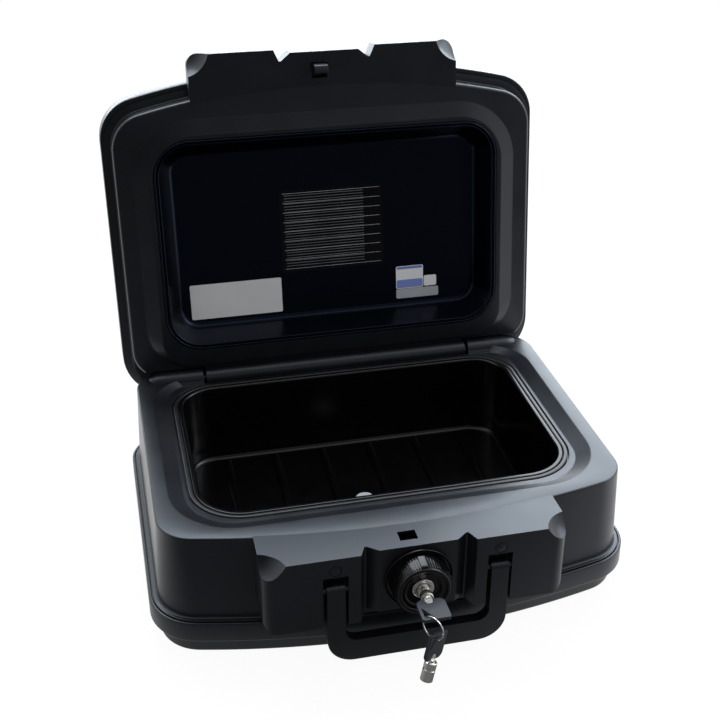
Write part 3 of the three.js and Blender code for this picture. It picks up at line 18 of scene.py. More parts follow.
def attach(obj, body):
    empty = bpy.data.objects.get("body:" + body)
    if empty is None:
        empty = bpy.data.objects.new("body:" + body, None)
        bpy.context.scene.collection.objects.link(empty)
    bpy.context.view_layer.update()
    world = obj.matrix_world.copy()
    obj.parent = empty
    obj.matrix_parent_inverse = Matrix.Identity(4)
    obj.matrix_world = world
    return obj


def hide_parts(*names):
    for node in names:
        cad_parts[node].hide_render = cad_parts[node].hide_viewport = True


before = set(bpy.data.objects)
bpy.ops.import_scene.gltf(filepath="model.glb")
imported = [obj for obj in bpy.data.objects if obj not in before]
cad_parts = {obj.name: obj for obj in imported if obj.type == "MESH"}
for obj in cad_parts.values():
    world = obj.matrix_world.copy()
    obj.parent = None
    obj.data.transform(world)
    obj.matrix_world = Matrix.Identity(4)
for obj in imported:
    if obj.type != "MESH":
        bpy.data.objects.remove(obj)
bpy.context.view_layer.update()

Points = list[tuple[float, float]]
Triple = tuple[float, float, float]
Four = tuple[float, float, float, float]

LOG = logging.getLogger("data_safe")

MM = 0.001
CORNER_STEPS = 12
BOW_STEPS = 36
SHARP_ANGLE = math.radians(32)
EDGE_ANGLE = math.radians(30)
EDGE_SEGMENTS = 3

# Heights, places and clearances that several assemblies share
PARTING_Z = 112.0
LEDGE_Z = 36.5
BAND_HEIGHT = 19.5
BAND_OUTSET = 11.0
SEAM_OUTSET = 7.6
BODY_FRONT = -142.5
BODY_REAR = 142.5
SHELL_WALL = 3.0
SEAT_GAP = 0.3
HINGE_Y = 128.5
HINGE_Z = 107.8
OPEN_ANGLE = 98.3
HINGE_HALF_GAP = 131.0
BARREL_HALF = 128.5
BARREL_RADIUS = 8.0
LID_Z = 112.5
LID_LEDGE_Z = 133.0
HOUSING_FRONT = -171.5
HOUSING_HALF = 122.5
PANEL_FRONT = -168.5
KNOB_Z = 81.5
TAIL_RADIUS = 2.6
TAIL_END = -150.5
CHANNEL_INNER = 3.1
CHANNEL_OUTER = 8.5
PAN_Z = 133.0
HANDLE_X = 65.8
HOOK_LEFT = -11.5
HOOK_RIGHT = 0.5
HOOK_CLEARANCE = 1.1
SPINDLE_BORE = 6.6


class Body(Enum):
    """The frame's moving bodies."""

    BASE = "base"
    LID = "lid"
    KNOB = "knob"
    LOCK = "lock"
    KEY = "key"
    RING = "ring"
    SPARE_KEY = "spare_key"
    HANDLE = "handle"


class Operation(Enum):
    """How one closed mesh is combined with another."""

    CUT = "DIFFERENCE"
    JOIN = "UNION"
    KEEP_COMMON = "INTERSECT"


class Axis(Enum):
    """The direction that a disc or a prism runs along."""

    X = "X"
    Y = "Y"
    Z = "Z"


def arc(x: float, y: float, radius: float, start: float, end: float, steps: int) -> Points:
    """Points along an arc, both ends included.

    Args:
        x: First coordinate of the centre.
        y: Second coordinate of the centre.
        radius: Radius of the arc.
        start: First angle in degrees.
        end: Last angle in degrees.
        steps: Number of equal steps.

    Returns:
        The points in order.
    """
    angles = [math.radians(start + (end - start) * i / steps) for i in range(steps + 1)]
    return [(x + radius * math.cos(a), y + radius * math.sin(a)) for a in angles]


@dataclass(frozen=True)
class Outline:
    """A rounded plan with a straight or bowed front."""

    half_width: float
    front: float
    rear: float
    front_radius: float
    rear_radius: float
    bow_radius: float = 0.0

    def points(self, offset: float = 0.0) -> Points:
        """The plan moved outwards.

        Args:
            offset: Distance outwards from the plan.

        Returns:
            The same number of points for every plan, counter-clockwise from the right rear corner.
        """
        half = self.half_width + offset
        front = self.front - offset
        rear = self.rear + offset
        front_radius = max(self.front_radius + offset, 1.0)
        rear_radius = max(self.rear_radius + offset, 1.0)
        corner_x = half - front_radius
        corner_y = front + front_radius
        meet = 270.0
        if self.bow_radius:
            bow = self.bow_radius + offset
            centre_y = front + bow
            corner_y = centre_y - math.sqrt((bow - front_radius) ** 2 - corner_x ** 2)
            meet = 180.0 + math.degrees(math.atan2(centre_y - corner_y, corner_x))
            nose = arc(0.0, centre_y, bow, meet, 540.0 - meet, BOW_STEPS)[1:-1]
        else:
            nose = [(corner_x * (2.0 * i / BOW_STEPS - 1.0), front) for i in range(1, BOW_STEPS)]
        return [
            *arc(half - rear_radius, rear - rear_radius, rear_radius, 0, 90, CORNER_STEPS),
            *arc(rear_radius - half, rear - rear_radius, rear_radius, 90, 180, CORNER_STEPS),
            *arc(-corner_x, corner_y, front_radius, 180, meet, CORNER_STEPS),
            *nose,
            *arc(corner_x, corner_y, front_radius, 540.0 - meet, 360, CORNER_STEPS),
        ]


BODY_PLAN = Outline(194.25, BODY_FRONT, BODY_REAR, 33.0, 28.0, 735.0)
RECESS_PLAN = Outline(180.65, -116.4, 125.5, 57.0, 42.0)
RECESS_FLOOR_PLAN = Outline(168.45, -104.2, 121.0, 44.8, 29.8)
OPENING_PLAN = Outline(156.8, -90.2, 110.0, 38.5, 31.5)
LID_LOW_PLAN = Outline(194.25, BODY_FRONT, 125.5, 33.0, 26.0, 735.0)
LID_SIDE_PLAN = Outline(194.25, BODY_FRONT, BODY_REAR, 33.0, 33.0, 735.0)
LID_BAND_PLAN = Outline(191.25, BODY_FRONT, 139.5, 26.0, 30.0, 735.0)
PLUG_PLAN = Outline(178.75, -115.4, 117.5, 55.1, 40.1)
PLUG_FACE_PLAN = Outline(165.75, -102.4, 115.0, 42.1, 27.1)
CAVITY_PLAN = Outline(157.2, -94.5, 96.5, 30.0, 30.0)


class Skin:
    """A surface that passes through plan outlines, one above another."""

    def __init__(self) -> None:
        """Starts an empty skin."""
        self.mesh = bmesh.new()
        self.first: list[BMVert] = []
        self.ring: list[BMVert] = []

    def level(self, plan: Outline, offset: float, height: float) -> None:
        """Adds an outline.

        Args:
            plan: The plan outline.
            offset: Distance outwards from the plan.
            height: Height of the outline.
        """
        points = plan.points(offset)
        if self.ring:
            self.ring = extruded(self.mesh, self.ring)
        else:
            self.ring = bmesh.ops.create_circle(self.mesh, segments=len(points), radius=1.0)["verts"]
            self.first = list(self.ring)
        for vert, (x, y) in zip(self.ring, points):
            vert.co = (x * MM, y * MM, height * MM)

    def levels(self, plan: Outline, *places: tuple[float, float]) -> None:
        """Adds the same plan several times.

        Args:
            plan: The plan outline.
            places: Offset and height of each outline.
        """
        for offset, height in places:
            self.level(plan, offset, height)

    def rounding(self, plan: Outline, offset: float, height: float, radius: float,
                 start: float, end: float, steps: int = 5) -> None:
        """Adds the outlines of a rounded edge.

        Args:
            plan: The plan outline.
            offset: Offset of the rounding's centre.
            height: Height of the rounding's centre.
            radius: Radius of the rounding.
            start: First angle in degrees, 0 being outwards and 90 upwards.
            end: Last angle in degrees.
            steps: Number of steps.
        """
        self.levels(plan, *arc(offset, height, radius, start, end, steps))

    def as_ring(self) -> BMesh:
        """Joins the last outline to the first, so that the skin closes like a hoop.

        Returns:
            The closed mesh.
        """
        bmesh.ops.bridge_loops(self.mesh, edges=edges_of(self.first) + edges_of(self.ring))
        return outward(self.mesh)

    def capped(self) -> BMesh:
        """Fills the first and the last outline.

        Returns:
            The closed mesh.
        """
        bmesh.ops.contextual_create(self.mesh, geom=self.first)
        bmesh.ops.contextual_create(self.mesh, geom=self.ring)
        return outward(self.mesh)


def edges_of(ring: list[BMVert]) -> list[BMEdge]:
    """The edges between neighbours of a ring.

    Args:
        ring: Vertices in order.

    Returns:
        The edges in order.
    """
    pairs = zip(ring, ring[1:] + ring[:1])
    return [next(e for e in a.link_edges if e.other_vert(a) is b) for a, b in pairs]


def extruded(mesh: BMesh, ring: list[BMVert]) -> list[BMVert]:
    """Extrudes a ring in place.

    Args:
        mesh: The mesh that holds the ring.
        ring: Vertices in order.

    Returns:
        The new ring in the same order.
    """
    made = bmesh.ops.extrude_edge_only(mesh, edges=edges_of(ring))
    new = {v for v in made["geom"] if isinstance(v, BMVert)}
    return [next(e.other_vert(v) for e in v.link_edges if e.other_vert(v) in new) for v in ring]


def outward(mesh: BMesh) -> BMesh:
    """Merges doubles and turns the faces of a closed mesh outwards.

    Args:
        mesh: The mesh, changed in place.

    Returns:
        The same mesh.
    """
    bmesh.ops.remove_doubles(mesh, verts=mesh.verts, dist=1e-6)
    bmesh.ops.recalc_face_normals(mesh, faces=mesh.faces)
    return mesh


def turned(profile: Points, steps: int = 64) -> BMesh:
    """Spins a profile about Y.

    Args:
        profile: Pairs of radius and place along Y, from one end of the profile to the other.
        steps: Number of steps of the full turn.

    Returns:
        A mesh in metres about the Y axis.
    """
    mesh = bmesh.new()
    verts = [mesh.verts.new((r * MM, y * MM, 0.0)) for r, y in profile]
    edges = [mesh.edges.new(pair) for pair in zip(verts, verts[1:])]
    bmesh.ops.spin(mesh, geom=verts + edges, cent=(0, 0, 0), axis=(0, 1, 0), angle=math.tau,
                   steps=steps, use_merge=True)
    return outward(mesh)


def plate(outline: Points, start: float, end: float, axis: Axis = Axis.Z) -> BMesh:
    """Extrudes a flat outline into a plate.

    Args:
        outline: Points of the plan. They are (x, y) along Z, (x, z) along Y and (y, z) along X.
        start: Where the plate starts along its axis.
        end: Where it ends.
        axis: The direction of the extrusion.

    Returns:
        The closed plate in metres.
    """
    mesh = bmesh.new()
    place = {
        Axis.Z: lambda u, v, w: (u, v, w),
        Axis.Y: lambda u, v, w: (u, w, v),
        Axis.X: lambda u, v, w: (w, u, v),
    }[axis]
    verts = [mesh.verts.new(Vector(place(u, v, start)) * MM) for u, v in outline]
    face = mesh.faces.new(verts)
    made = bmesh.ops.extrude_face_region(mesh, geom=[face])
    moved = [v for v in made["geom"] if isinstance(v, BMVert)]
    bmesh.ops.translate(mesh, verts=moved, vec=Vector(place(0.0, 0.0, end - start)) * MM)
    return outward(mesh)


def box(low: Triple, high: Triple) -> BMesh:
    """A box between two corners.

    Args:
        low: Lowest corner.
        high: Highest corner.

    Returns:
        The closed box in metres.
    """
    mesh = bmesh.new()
    bmesh.ops.create_cube(mesh, size=1.0)
    size = [(b - a) * MM for a, b in zip(low, high)]
    middle = [(a + b) * MM / 2 for a, b in zip(low, high)]
    bmesh.ops.scale(mesh, vec=size, verts=mesh.verts)
    bmesh.ops.translate(mesh, vec=middle, verts=mesh.verts)
    return outward(mesh)


def disc(axis: Axis, u: float, v: float, radius: float, start: float, end: float, steps: int = 48) -> BMesh:
    """A round bar.

    Args:
        axis: The bar's direction.
        u: First coordinate of its centre across the axis.
        v: Second coordinate of its centre across the axis.
        radius: Its radius.
        start: Where it starts along the axis.
        end: Where it ends.
        steps: Number of sides.

    Returns:
        The closed bar in metres.
    """
    return plate(arc(u, v, radius, 0, 360, steps)[:-1], start, end, axis)


def rounded_rectangle(left: float, right: float, low: float, high: float,
                      radii: Four, steps: int = 8) -> Points:
    """A rectangle with its own radius at each corner.

    Args:
        left: Lowest first coordinate.
        right: Highest first coordinate.
        low: Lowest second coordinate.
        high: Highest second coordinate.
        radii: Radii from the low left corner, counter-clockwise.
        steps: Steps of each corner.

    Returns:
        The outline's points.
    """
    a, b, c, d = radii
    corners = ((left + a, low + a, a, 180), (right - b, low + b, b, 270),
               (right - c, high - c, c, 0), (left + d, high - d, d, 90))
    points: Points = []
    for x, y, radius, start in corners:
        points += arc(x, y, radius, start, start + 90, steps) if radius else [(x, y)]
    return points


def combine(base: BMesh, operation: Operation, *tools: BMesh) -> BMesh:
    """Cuts, joins or intersects closed meshes.

    Args:
        base: The mesh that is kept, freed here.
        operation: What the tools do to it.
        tools: The other meshes, freed here.

    Returns:
        A new mesh.
    """
    holder = object_of("combined", base)
    others = [object_of("tool", tool) for tool in tools]
    for other in others:
        modifier = holder.modifiers.new("combine", "BOOLEAN")
        modifier.object = other
        modifier.operation = operation.value
        modifier.solver = "EXACT"
    bpy.context.view_layer.update()
    evaluated = holder.evaluated_get(bpy.context.evaluated_depsgraph_get())
    result = bmesh.new()
    result.from_mesh(evaluated.to_mesh())
    evaluated.to_mesh_clear()
    for item in (holder, *others):
        data = item.data
        bpy.data.objects.remove(item)
        bpy.data.meshes.remove(data)
    return result


def object_of(name: str, mesh: BMesh) -> Object:
    """Puts a bmesh into a new object in the scene.

    Args:
        name: The object's name.
        mesh: The bmesh, freed here.

    Returns:
        The object.
    """
    data = bpy.data.meshes.new(name)
    mesh.to_mesh(data)
    mesh.free()
    return in_scene(name, data)


def in_scene(name: str, data: ID) -> Object:
    """Puts a mesh, a lamp or a camera into the scene.

    Args:
        name: The object's name.
        data: What the object holds.

    Returns:
        The object.
    """
    item = bpy.data.objects.new(name, data)
    bpy.context.scene.collection.objects.link(item)
    return item


def joined(*meshes: BMesh) -> BMesh:
    """Puts several meshes into one without cutting them.

    Args:
        meshes: The meshes, all but the first freed here.

    Returns:
        The first mesh with the others in it.
    """
    first, *rest = meshes
    for mesh in rest:
        data = bpy.data.meshes.new("passing")
        mesh.to_mesh(data)
        mesh.free()
        first.from_mesh(data)
        bpy.data.meshes.remove(data)
    return first


def shifted(x: float, y: float, z: float) -> Matrix:
    """A move along the axes.

    Args:
        x: Distance along X, in millimetres.
        y: Distance along Y.
        z: Distance along Z.

    Returns:
        A matrix in metres.
    """
    return Matrix.Translation((x * MM, y * MM, z * MM))


def rotated(degrees: float, axis: Axis) -> Matrix:
    """A turn about an axis through the origin.

    Args:
        degrees: The angle.
        axis: The axis.

    Returns:
        A matrix.
    """
    return Matrix.Rotation(math.radians(degrees), 4, axis.value)


def opened() -> Matrix:
    """The move that swings the lid from shut to open.

    Returns:
        A matrix in metres.
    """
    hinge = shifted(0.0, HINGE_Y, HINGE_Z)
    return hinge @ rotated(-OPEN_ANGLE, Axis.X) @ hinge.inverted()


@dataclass(frozen=True)
class Piece:
    """What a finished piece stands for and how it is edged."""

    name: str
    body: Body
    nodes: tuple[str, ...] = ()
    slot: str = ""
    bevel: float = 0.0

    def make(self, mesh: BMesh, finish: "Finish", move: Matrix | None = None) -> Object:
        """Turns a mesh into a dressed piece that rides on its body.

        Args:
            mesh: The mesh in metres, freed here.
            finish: The piece's finish.
            move: A move that is applied to the mesh first.

        Returns:
            The new object.
        """
        if move is not None:
            bmesh.ops.transform(mesh, matrix=move, verts=mesh.verts)
        for face in mesh.faces:
            face.smooth = True
        item = object_of(self.name, mesh)
        item.data.materials.append(finish.material())
        item.data.set_sharp_from_angle(angle=SHARP_ANGLE)
        if self.bevel:
            edge = item.modifiers.new("edge", "BEVEL")
            edge.width = self.bevel * MM
            edge.segments = EDGE_SEGMENTS
            edge.limit_method = "ANGLE"
            edge.angle_limit = EDGE_ANGLE
            edge.harden_normals = True
            edge.use_clamp_overlap = True
        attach(item, self.body.value)
        if self.nodes:
            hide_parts(*self.nodes)
        LOG.info("%s: %d faces on %s", self.name, len(item.data.polygons), self.body.value)
        return item


def feed(tree: NodeTree, value: object, socket: NodeSocket) -> None:
    """Gives a socket its value or its link.

    Args:
        tree: The node tree.
        value: A number, a colour or another node's output.
        socket: The input that takes it.
    """
    if isinstance(value, NodeSocket):
        tree.links.new(value, socket)
    else:
        socket.default_value = value


def worked_out(tree: NodeTree, operation: str, *values: object) -> NodeSocket:
    """Adds a math node.

    Args:
        tree: The node tree.
        operation: What the node does.
        values: Its inputs, as numbers or outputs.

    Returns:
        The result.
    """
    node = tree.nodes.new("ShaderNodeMath")
    node.operation = operation
    for value, socket in zip(values, node.inputs):
        feed(tree, value, socket)
    return node.outputs[0]


def ranged(tree: NodeTree, value: NodeSocket, span: tuple[float, float],
           low: object, high: object) -> NodeSocket:
    """Maps a span of values to another, and holds what lies outside.

    Args:
        tree: The node tree.
        value: The value to map.
        span: Where the value starts and ends.
        low: The result at the start.
        high: The result at the end.

    Returns:
        The mapped value.
    """
    node = tree.nodes.new("ShaderNodeMapRange")
    inputs = zip(("Value", "From Min", "From Max", "To Min", "To Max"), (value, *span, low, high))
    for name, item in inputs:
        feed(tree, item, node.inputs[name])
    return node.outputs["Result"]


def mixed(tree: NodeTree, share: NodeSocket, first: object,
          second: object) -> NodeSocket:
    """Mixes two colours.

    Args:
        tree: The node tree.
        share: How much of the second colour shows.
        first: The first colour.
        second: The second colour.

    Returns:
        The mixed colour.
    """
    node = tree.nodes.new("ShaderNodeMix")
    node.data_type = "RGBA"
    for name, item in (("Factor", share), ("A", first), ("B", second)):
        feed(tree, item, node.inputs[name])
    return node.outputs["Result"]


class Effects:
    """Shader node groups that several finishes share."""

    noise_span = (0.3, 0.7)
    patch_scale = 38.0
    dust_patch_scale = 22.0
    speck_size = 0.13

    @staticmethod
    def new_group(name: str, inputs: dict[str, float | None], outputs: tuple[str, ...]) -> tuple:
        """Starts a node group.

        Args:
            name: The group's name.
            inputs: Default of each number that it takes, or None for a vector.
            outputs: Names of the numbers that it gives.

        Returns:
            The group, its input node and its output node.
        """
        group = bpy.data.node_groups.new(name, "ShaderNodeTree")
        for label, default in inputs.items():
            kind = "NodeSocketVector" if default is None else "NodeSocketFloat"
            socket = group.interface.new_socket(name=label, in_out="INPUT", socket_type=kind)
            if default is not None:
                socket.default_value = default
        for label in outputs:
            group.interface.new_socket(name=label, in_out="OUTPUT", socket_type="NodeSocketFloat")
        return group, group.nodes.new("NodeGroupInput"), group.nodes.new("NodeGroupOutput")

    @staticmethod
    def noise(group: NodeTree, vector: NodeSocket, scale: object,
              detail: float) -> NodeSocket:
        """Adds a noise texture.

        Args:
            group: The node tree.
            vector: Where the texture is read.
            scale: A socket or a number for the scale.
            detail: Number of octaves.

        Returns:
            The noise value.
        """
        node = group.nodes.new("ShaderNodeTexNoise")
        for name, value in (("Vector", vector), ("Scale", scale), ("Detail", detail)):
            feed(group, value, node.inputs[name])
        return node.outputs["Fac"]

    @classmethod
    def mould_grain(cls) -> NodeTree:
        """Fine grain of a spark-eroded mould, with patches of more and less sheen.

        Returns:
            The group.
        """
        found = bpy.data.node_groups.get("mould_grain")
        if found:
            return found
        group, start, end = cls.new_group(
            "mould_grain", {"Vector": None, "Grain Scale": 1800.0, "Sheen Low": 0.3, "Sheen High": 0.4},
            ("Height", "Roughness", "Mottle"))
        given = start.outputs
        fine = cls.noise(group, given["Vector"], given["Grain Scale"], 2.0)
        broad = cls.noise(group, given["Vector"], cls.patch_scale, 3.0)
        sheen = ranged(group, broad, cls.noise_span, given["Sheen Low"], given["Sheen High"])
        feed(group, fine, end.inputs["Height"])
        feed(group, sheen, end.inputs["Roughness"])
        feed(group, ranged(group, broad, cls.noise_span, 0.0, 1.0), end.inputs["Mottle"])
        return group

    @classmethod
    def handling(cls) -> NodeTree:
        """Sparse specks of dust in loose patches.

        Returns:
            The group.
        """
        found = bpy.data.node_groups.get("handling")
        if found:
            return found
        group, start, end = cls.new_group(
            "handling", {"Vector": None, "Dust Scale": 700.0, "Amount": 0.3}, ("Mask",))
        where = start.outputs["Vector"]
        specks = group.nodes.new("ShaderNodeTexVoronoi")
        feed(group, where, specks.inputs["Vector"])
        feed(group, start.outputs["Dust Scale"], specks.inputs["Scale"])
        small = worked_out(group, "LESS_THAN", specks.outputs["Distance"], cls.speck_size)
        patches = ranged(group, cls.noise(group, where, cls.dust_patch_scale, 4.0), cls.noise_span, 0.0, 1.0)
        here = worked_out(group, "MULTIPLY", small, patches)
        feed(group, worked_out(group, "MULTIPLY", here, start.outputs["Amount"]), end.inputs["Mask"])
        return group


@dataclass(frozen=True)
class Finish:
    """A material made of a plain shader, a fine grain and a little dust."""

    name: str
    colour: Triple
    sheen_low: float
    sheen_high: float
    grain_scale: float = 1800.0
    grain_depth: float = 0.00002
    grain_strength: float = 0.25
    mottle: float = 0.12
    dust: float = 0.0
    dust_colour: Triple = (0.35, 0.36, 0.38)
    metallic: float = 0.0
    ior: float = 1.46
    specular: float = 0.5
    coat: float = 0.0
    coat_roughness: float = 0.05
    tint: Triple = (1.0, 1.0, 1.0)

    def material(self) -> Material:
        """Builds the material once.

        Returns:
            The material.
        """
        found = bpy.data.materials.get(self.name)
        if found:
            return found
        made = bpy.data.materials.new(self.name)
        made.use_nodes = True
        tree = made.node_tree
        shader = tree.nodes["Principled BSDF"]
        plain = {
            "Metallic": self.metallic, "IOR": self.ior, "Specular IOR Level": self.specular,
            "Specular Tint": (*self.tint, 1.0), "Coat Weight": self.coat,
            "Coat Roughness": self.coat_roughness,
        }
        for name, value in plain.items():
            shader.inputs[name].default_value = value
        where = tree.nodes.new("ShaderNodeTexCoord").outputs["Object"]
        grain = tree.nodes.new("ShaderNodeGroup")
        grain.node_tree = Effects.mould_grain()
        feed(tree, where, grain.inputs["Vector"])
        feed(tree, self.grain_scale, grain.inputs["Grain Scale"])
        feed(tree, self.sheen_low, grain.inputs["Sheen Low"])
        feed(tree, self.sheen_high, grain.inputs["Sheen High"])
        feed(tree, grain.outputs["Roughness"], shader.inputs["Roughness"])
        bump = tree.nodes.new("ShaderNodeBump")
        feed(tree, self.grain_strength, bump.inputs["Strength"])
        feed(tree, self.grain_depth, bump.inputs["Distance"])
        feed(tree, grain.outputs["Height"], bump.inputs["Height"])
        feed(tree, bump.outputs["Normal"], shader.inputs["Normal"])
        lighter = (*(c * (1.0 + self.mottle * 3) for c in self.colour), 1.0)
        colour = mixed(tree, grain.outputs["Mottle"], (*self.colour, 1.0), lighter)
        if self.dust:
            marks = tree.nodes.new("ShaderNodeGroup")
            marks.node_tree = Effects.handling()
            feed(tree, self.dust, marks.inputs["Amount"])
            feed(tree, where, marks.inputs["Vector"])
            colour = mixed(tree, marks.outputs["Mask"], colour, (*self.dust_colour, 1.0))
        feed(tree, colour, shader.inputs["Base Color"])
        return made


CHARCOAL = Finish("charcoal_moulding", (0.003, 0.003, 0.0045), 0.35, 0.41, ior=1.55, dust=0.02, coat=0.15,
                  coat_roughness=0.18, tint=(0.82, 0.9, 1.0))
LINER = Finish("glossy_liner", (0.0004, 0.0004, 0.0007), 0.2, 0.25, grain_strength=0.05)
LID_LINER = Finish("lid_liner", (0.0003, 0.0004, 0.0012), 0.22, 0.28, specular=0.4, grain_strength=0.05,
                   tint=(0.45, 0.6, 1.0))
KNOB_BLACK = Finish("gloss_black", (0.003, 0.003, 0.0035), 0.12, 0.18, grain_strength=0.04)
SOFT_STRIP = Finish("soft_strip", (0.008, 0.008, 0.01), 0.32, 0.4, grain_scale=2600.0, grain_strength=0.15)
ZINC = Finish("zinc_plate", (0.5, 0.51, 0.53), 0.28, 0.38, metallic=1.0, grain_strength=0.1, mottle=0.03)
NICKEL = Finish("bright_nickel", (0.9, 0.88, 0.84), 0.2, 0.28, metallic=1.0, grain_strength=0.06, mottle=0.02)
BRASS = Finish("turned_brass", (0.52, 0.38, 0.14), 0.2, 0.3, metallic=1.0, grain_strength=0.06, mottle=0.05)
KEY_GREY = Finish("key_grey", (0.018, 0.021, 0.029), 0.42, 0.52, specular=0.4, grain_strength=0.2)
BLACKENED = Finish("blackened_steel", (0.012, 0.012, 0.013), 0.4, 0.5, grain_strength=0.1)
PALE_PLUG = Finish("pale_plug", (0.55, 0.57, 0.6), 0.4, 0.5, mottle=0.03)
FILL = Finish("cast_fill", (0.55, 0.52, 0.46), 0.9, 0.98, grain_scale=500.0, grain_strength=0.8)
SILVER_CARD = Finish("silver_card", (0.54, 0.55, 0.56), 0.35, 0.42, grain_strength=0.05, mottle=0.02)
WHITE_CARD = Finish("white_card", (0.7, 0.71, 0.74), 0.4, 0.5, grain_strength=0.05, mottle=0.01)
GREY_CARD = Finish("grey_card", (0.33, 0.35, 0.38), 0.4, 0.5, grain_strength=0.05, mottle=0.02)
CLEAR_FILM = Finish("clear_film", (0.0015, 0.0016, 0.0026), 0.16, 0.2, specular=0.3, grain_strength=0.02)
BLUE_CARD = Finish("blue_card", (0.16, 0.22, 0.52), 0.4, 0.5, grain_strength=0.05, mottle=0.02)
PALE_RULE = Finish("pale_rule", (0.26, 0.27, 0.28), 0.4, 0.5, grain_strength=0.02)
DIM_RULE = Finish("dim_rule", (0.075, 0.08, 0.085), 0.4, 0.5, grain_scale=900.0, mottle=0.3)


@dataclass
class BaseBody:
    """The base: lower moulding, upper moulding, liner, strip and floor plug."""

    foot_outset: float = 3.3
    wall_draft: float = 3.5
    foot_radius: float = 4.0
    rim_round: float = 1.6
    recess_depth: float = 5.5
    channel_depth: float = 3.0
    floor_z: float = 29.0
    tub_wall: float = 2.5
    tub_draft: float = 4.0
    tub_fillet: float = 5.0
    collar_outset: float = 2.8
    collar_low: float = 100.0
    collar_high: float = 103.5
    strip_width: float = 4.0
    strip_round: float = 1.1
    strip_bottom: float = 103.8
    plug_radius: float = 8.5
    plug_rise: float = 2.9
    plug_y: float = 9.9
    bed_half: float = 153.0
    bed_front: float = 118.5
    bed_drop: float = 12.5
    rib_count: int = 6
    rib_pitch: float = 46.4
    rib_half: float = 4.1
    rib_rise: float = 1.9
    rib_span: tuple[float, float] = (-80.0, 99.0)
    fairing_radius: float = 8.5
    fairing_end: float = 183.0
    fairing_nose: float = 14.0

    def tray(self) -> Object:
        """The foot and the bumper band.

        Returns:
            The piece.
        """
        skin = Skin()
        low = LEDGE_Z - BAND_HEIGHT
        inner = SEAM_OUTSET + 0.8
        centre = self.foot_outset - self.foot_radius
        skin.rounding(BODY_PLAN, centre, self.foot_radius, self.foot_radius, -90, 0, 8)
        skin.level(BODY_PLAN, self.foot_outset, low - 1.2)
        skin.rounding(BODY_PLAN, self.foot_outset + 1.2, low - 1.2, 1.2, 180, 90, 3)
        skin.rounding(BODY_PLAN, BAND_OUTSET - 2.6, low + 2.6, 2.6, -90, -4, 5)
        skin.rounding(BODY_PLAN, BAND_OUTSET - 1.6, LEDGE_Z - 1.8, 1.3, 0, 90, 4)
        skin.levels(BODY_PLAN, (inner + 0.3, LEDGE_Z - 0.5), (inner, LEDGE_Z - 0.9), (inner, LEDGE_Z - 2.8),
                    (inner - 2.5, LEDGE_Z - 2.8), (inner - 2.5, low + SHELL_WALL),
                    (self.foot_outset - SHELL_WALL, low + SHELL_WALL))
        skin.rounding(BODY_PLAN, centre, self.foot_radius, self.foot_radius - SHELL_WALL, 0, -90, 4)
        piece = Piece("base_lower_moulding", Body.BASE, ("base_tray",), "body_plastic")
        return piece.make(skin.capped(), CHARCOAL)

    def shell(self) -> Object:
        """The wall, the rim with its recess, and the bed of the hinge.

        Returns:
            The piece.
        """
        r = self.rim_round
        ledge = PARTING_Z - self.recess_depth
        channel = ledge - self.channel_depth
        skin = Skin()
        skin.level(BODY_PLAN, SEAM_OUTSET, LEDGE_Z - 2.5)
        skin.rounding(BODY_PLAN, SEAM_OUTSET - 0.5, LEDGE_Z - 0.5, 0.5, 0, 90, 3)
        skin.rounding(BODY_PLAN, self.wall_draft + 2.0, LEDGE_Z + 2.0, 2.0, 270, 180, 5)
        skin.rounding(BODY_PLAN, -r, PARTING_Z - r, r, 0, 90, 5)
        skin.levels(RECESS_PLAN, (1.2, PARTING_Z), (0.3, PARTING_Z - 0.12), (-0.5, PARTING_Z - 0.45))
        skin.levels(RECESS_FLOOR_PLAN, (0.6, ledge + 0.32), (-0.3, ledge + 0.06), (-1.0, ledge))
        skin.rounding(OPENING_PLAN, CHANNEL_OUTER + 0.4, ledge - 0.4, 0.4, 90, 180, 3)
        skin.levels(OPENING_PLAN, (CHANNEL_OUTER, channel), (CHANNEL_INNER, channel),
                    (CHANNEL_INNER, channel - SHELL_WALL), (CHANNEL_OUTER + SHELL_WALL, channel - SHELL_WALL))
        skin.level(RECESS_FLOOR_PLAN, 1.0, ledge - SHELL_WALL)
        skin.levels(BODY_PLAN, (-SHELL_WALL - 4.0, PARTING_Z - SHELL_WALL),
                    (-SHELL_WALL, PARTING_Z - SHELL_WALL - 1.0), (-SHELL_WALL, LEDGE_Z - 2.5))
        gap, half = BARREL_RADIUS + 0.5, HINGE_HALF_GAP
        bed = box((-self.bed_half, self.bed_front, HINGE_Z - self.bed_drop),
                  (self.bed_half, BODY_REAR - 1.0, ledge + 0.01))
        trough = disc(Axis.X, HINGE_Y, HINGE_Z, gap, -half, half)
        behind = box((-half, HINGE_Y, HINGE_Z - gap), (half, BODY_REAR + 1.0, PARTING_Z + 1.0))
        above = box((-half, HINGE_Y - gap, HINGE_Z), (half, HINGE_Y + 1.0, PARTING_Z + 1.0))
        solid = combine(skin.as_ring(), Operation.JOIN, bed)
        solid = combine(solid, Operation.CUT, trough, behind, above)
        piece = Piece("base_upper_moulding", Body.BASE, ("base_shell",), "body_plastic")
        return piece.make(solid, CHARCOAL)

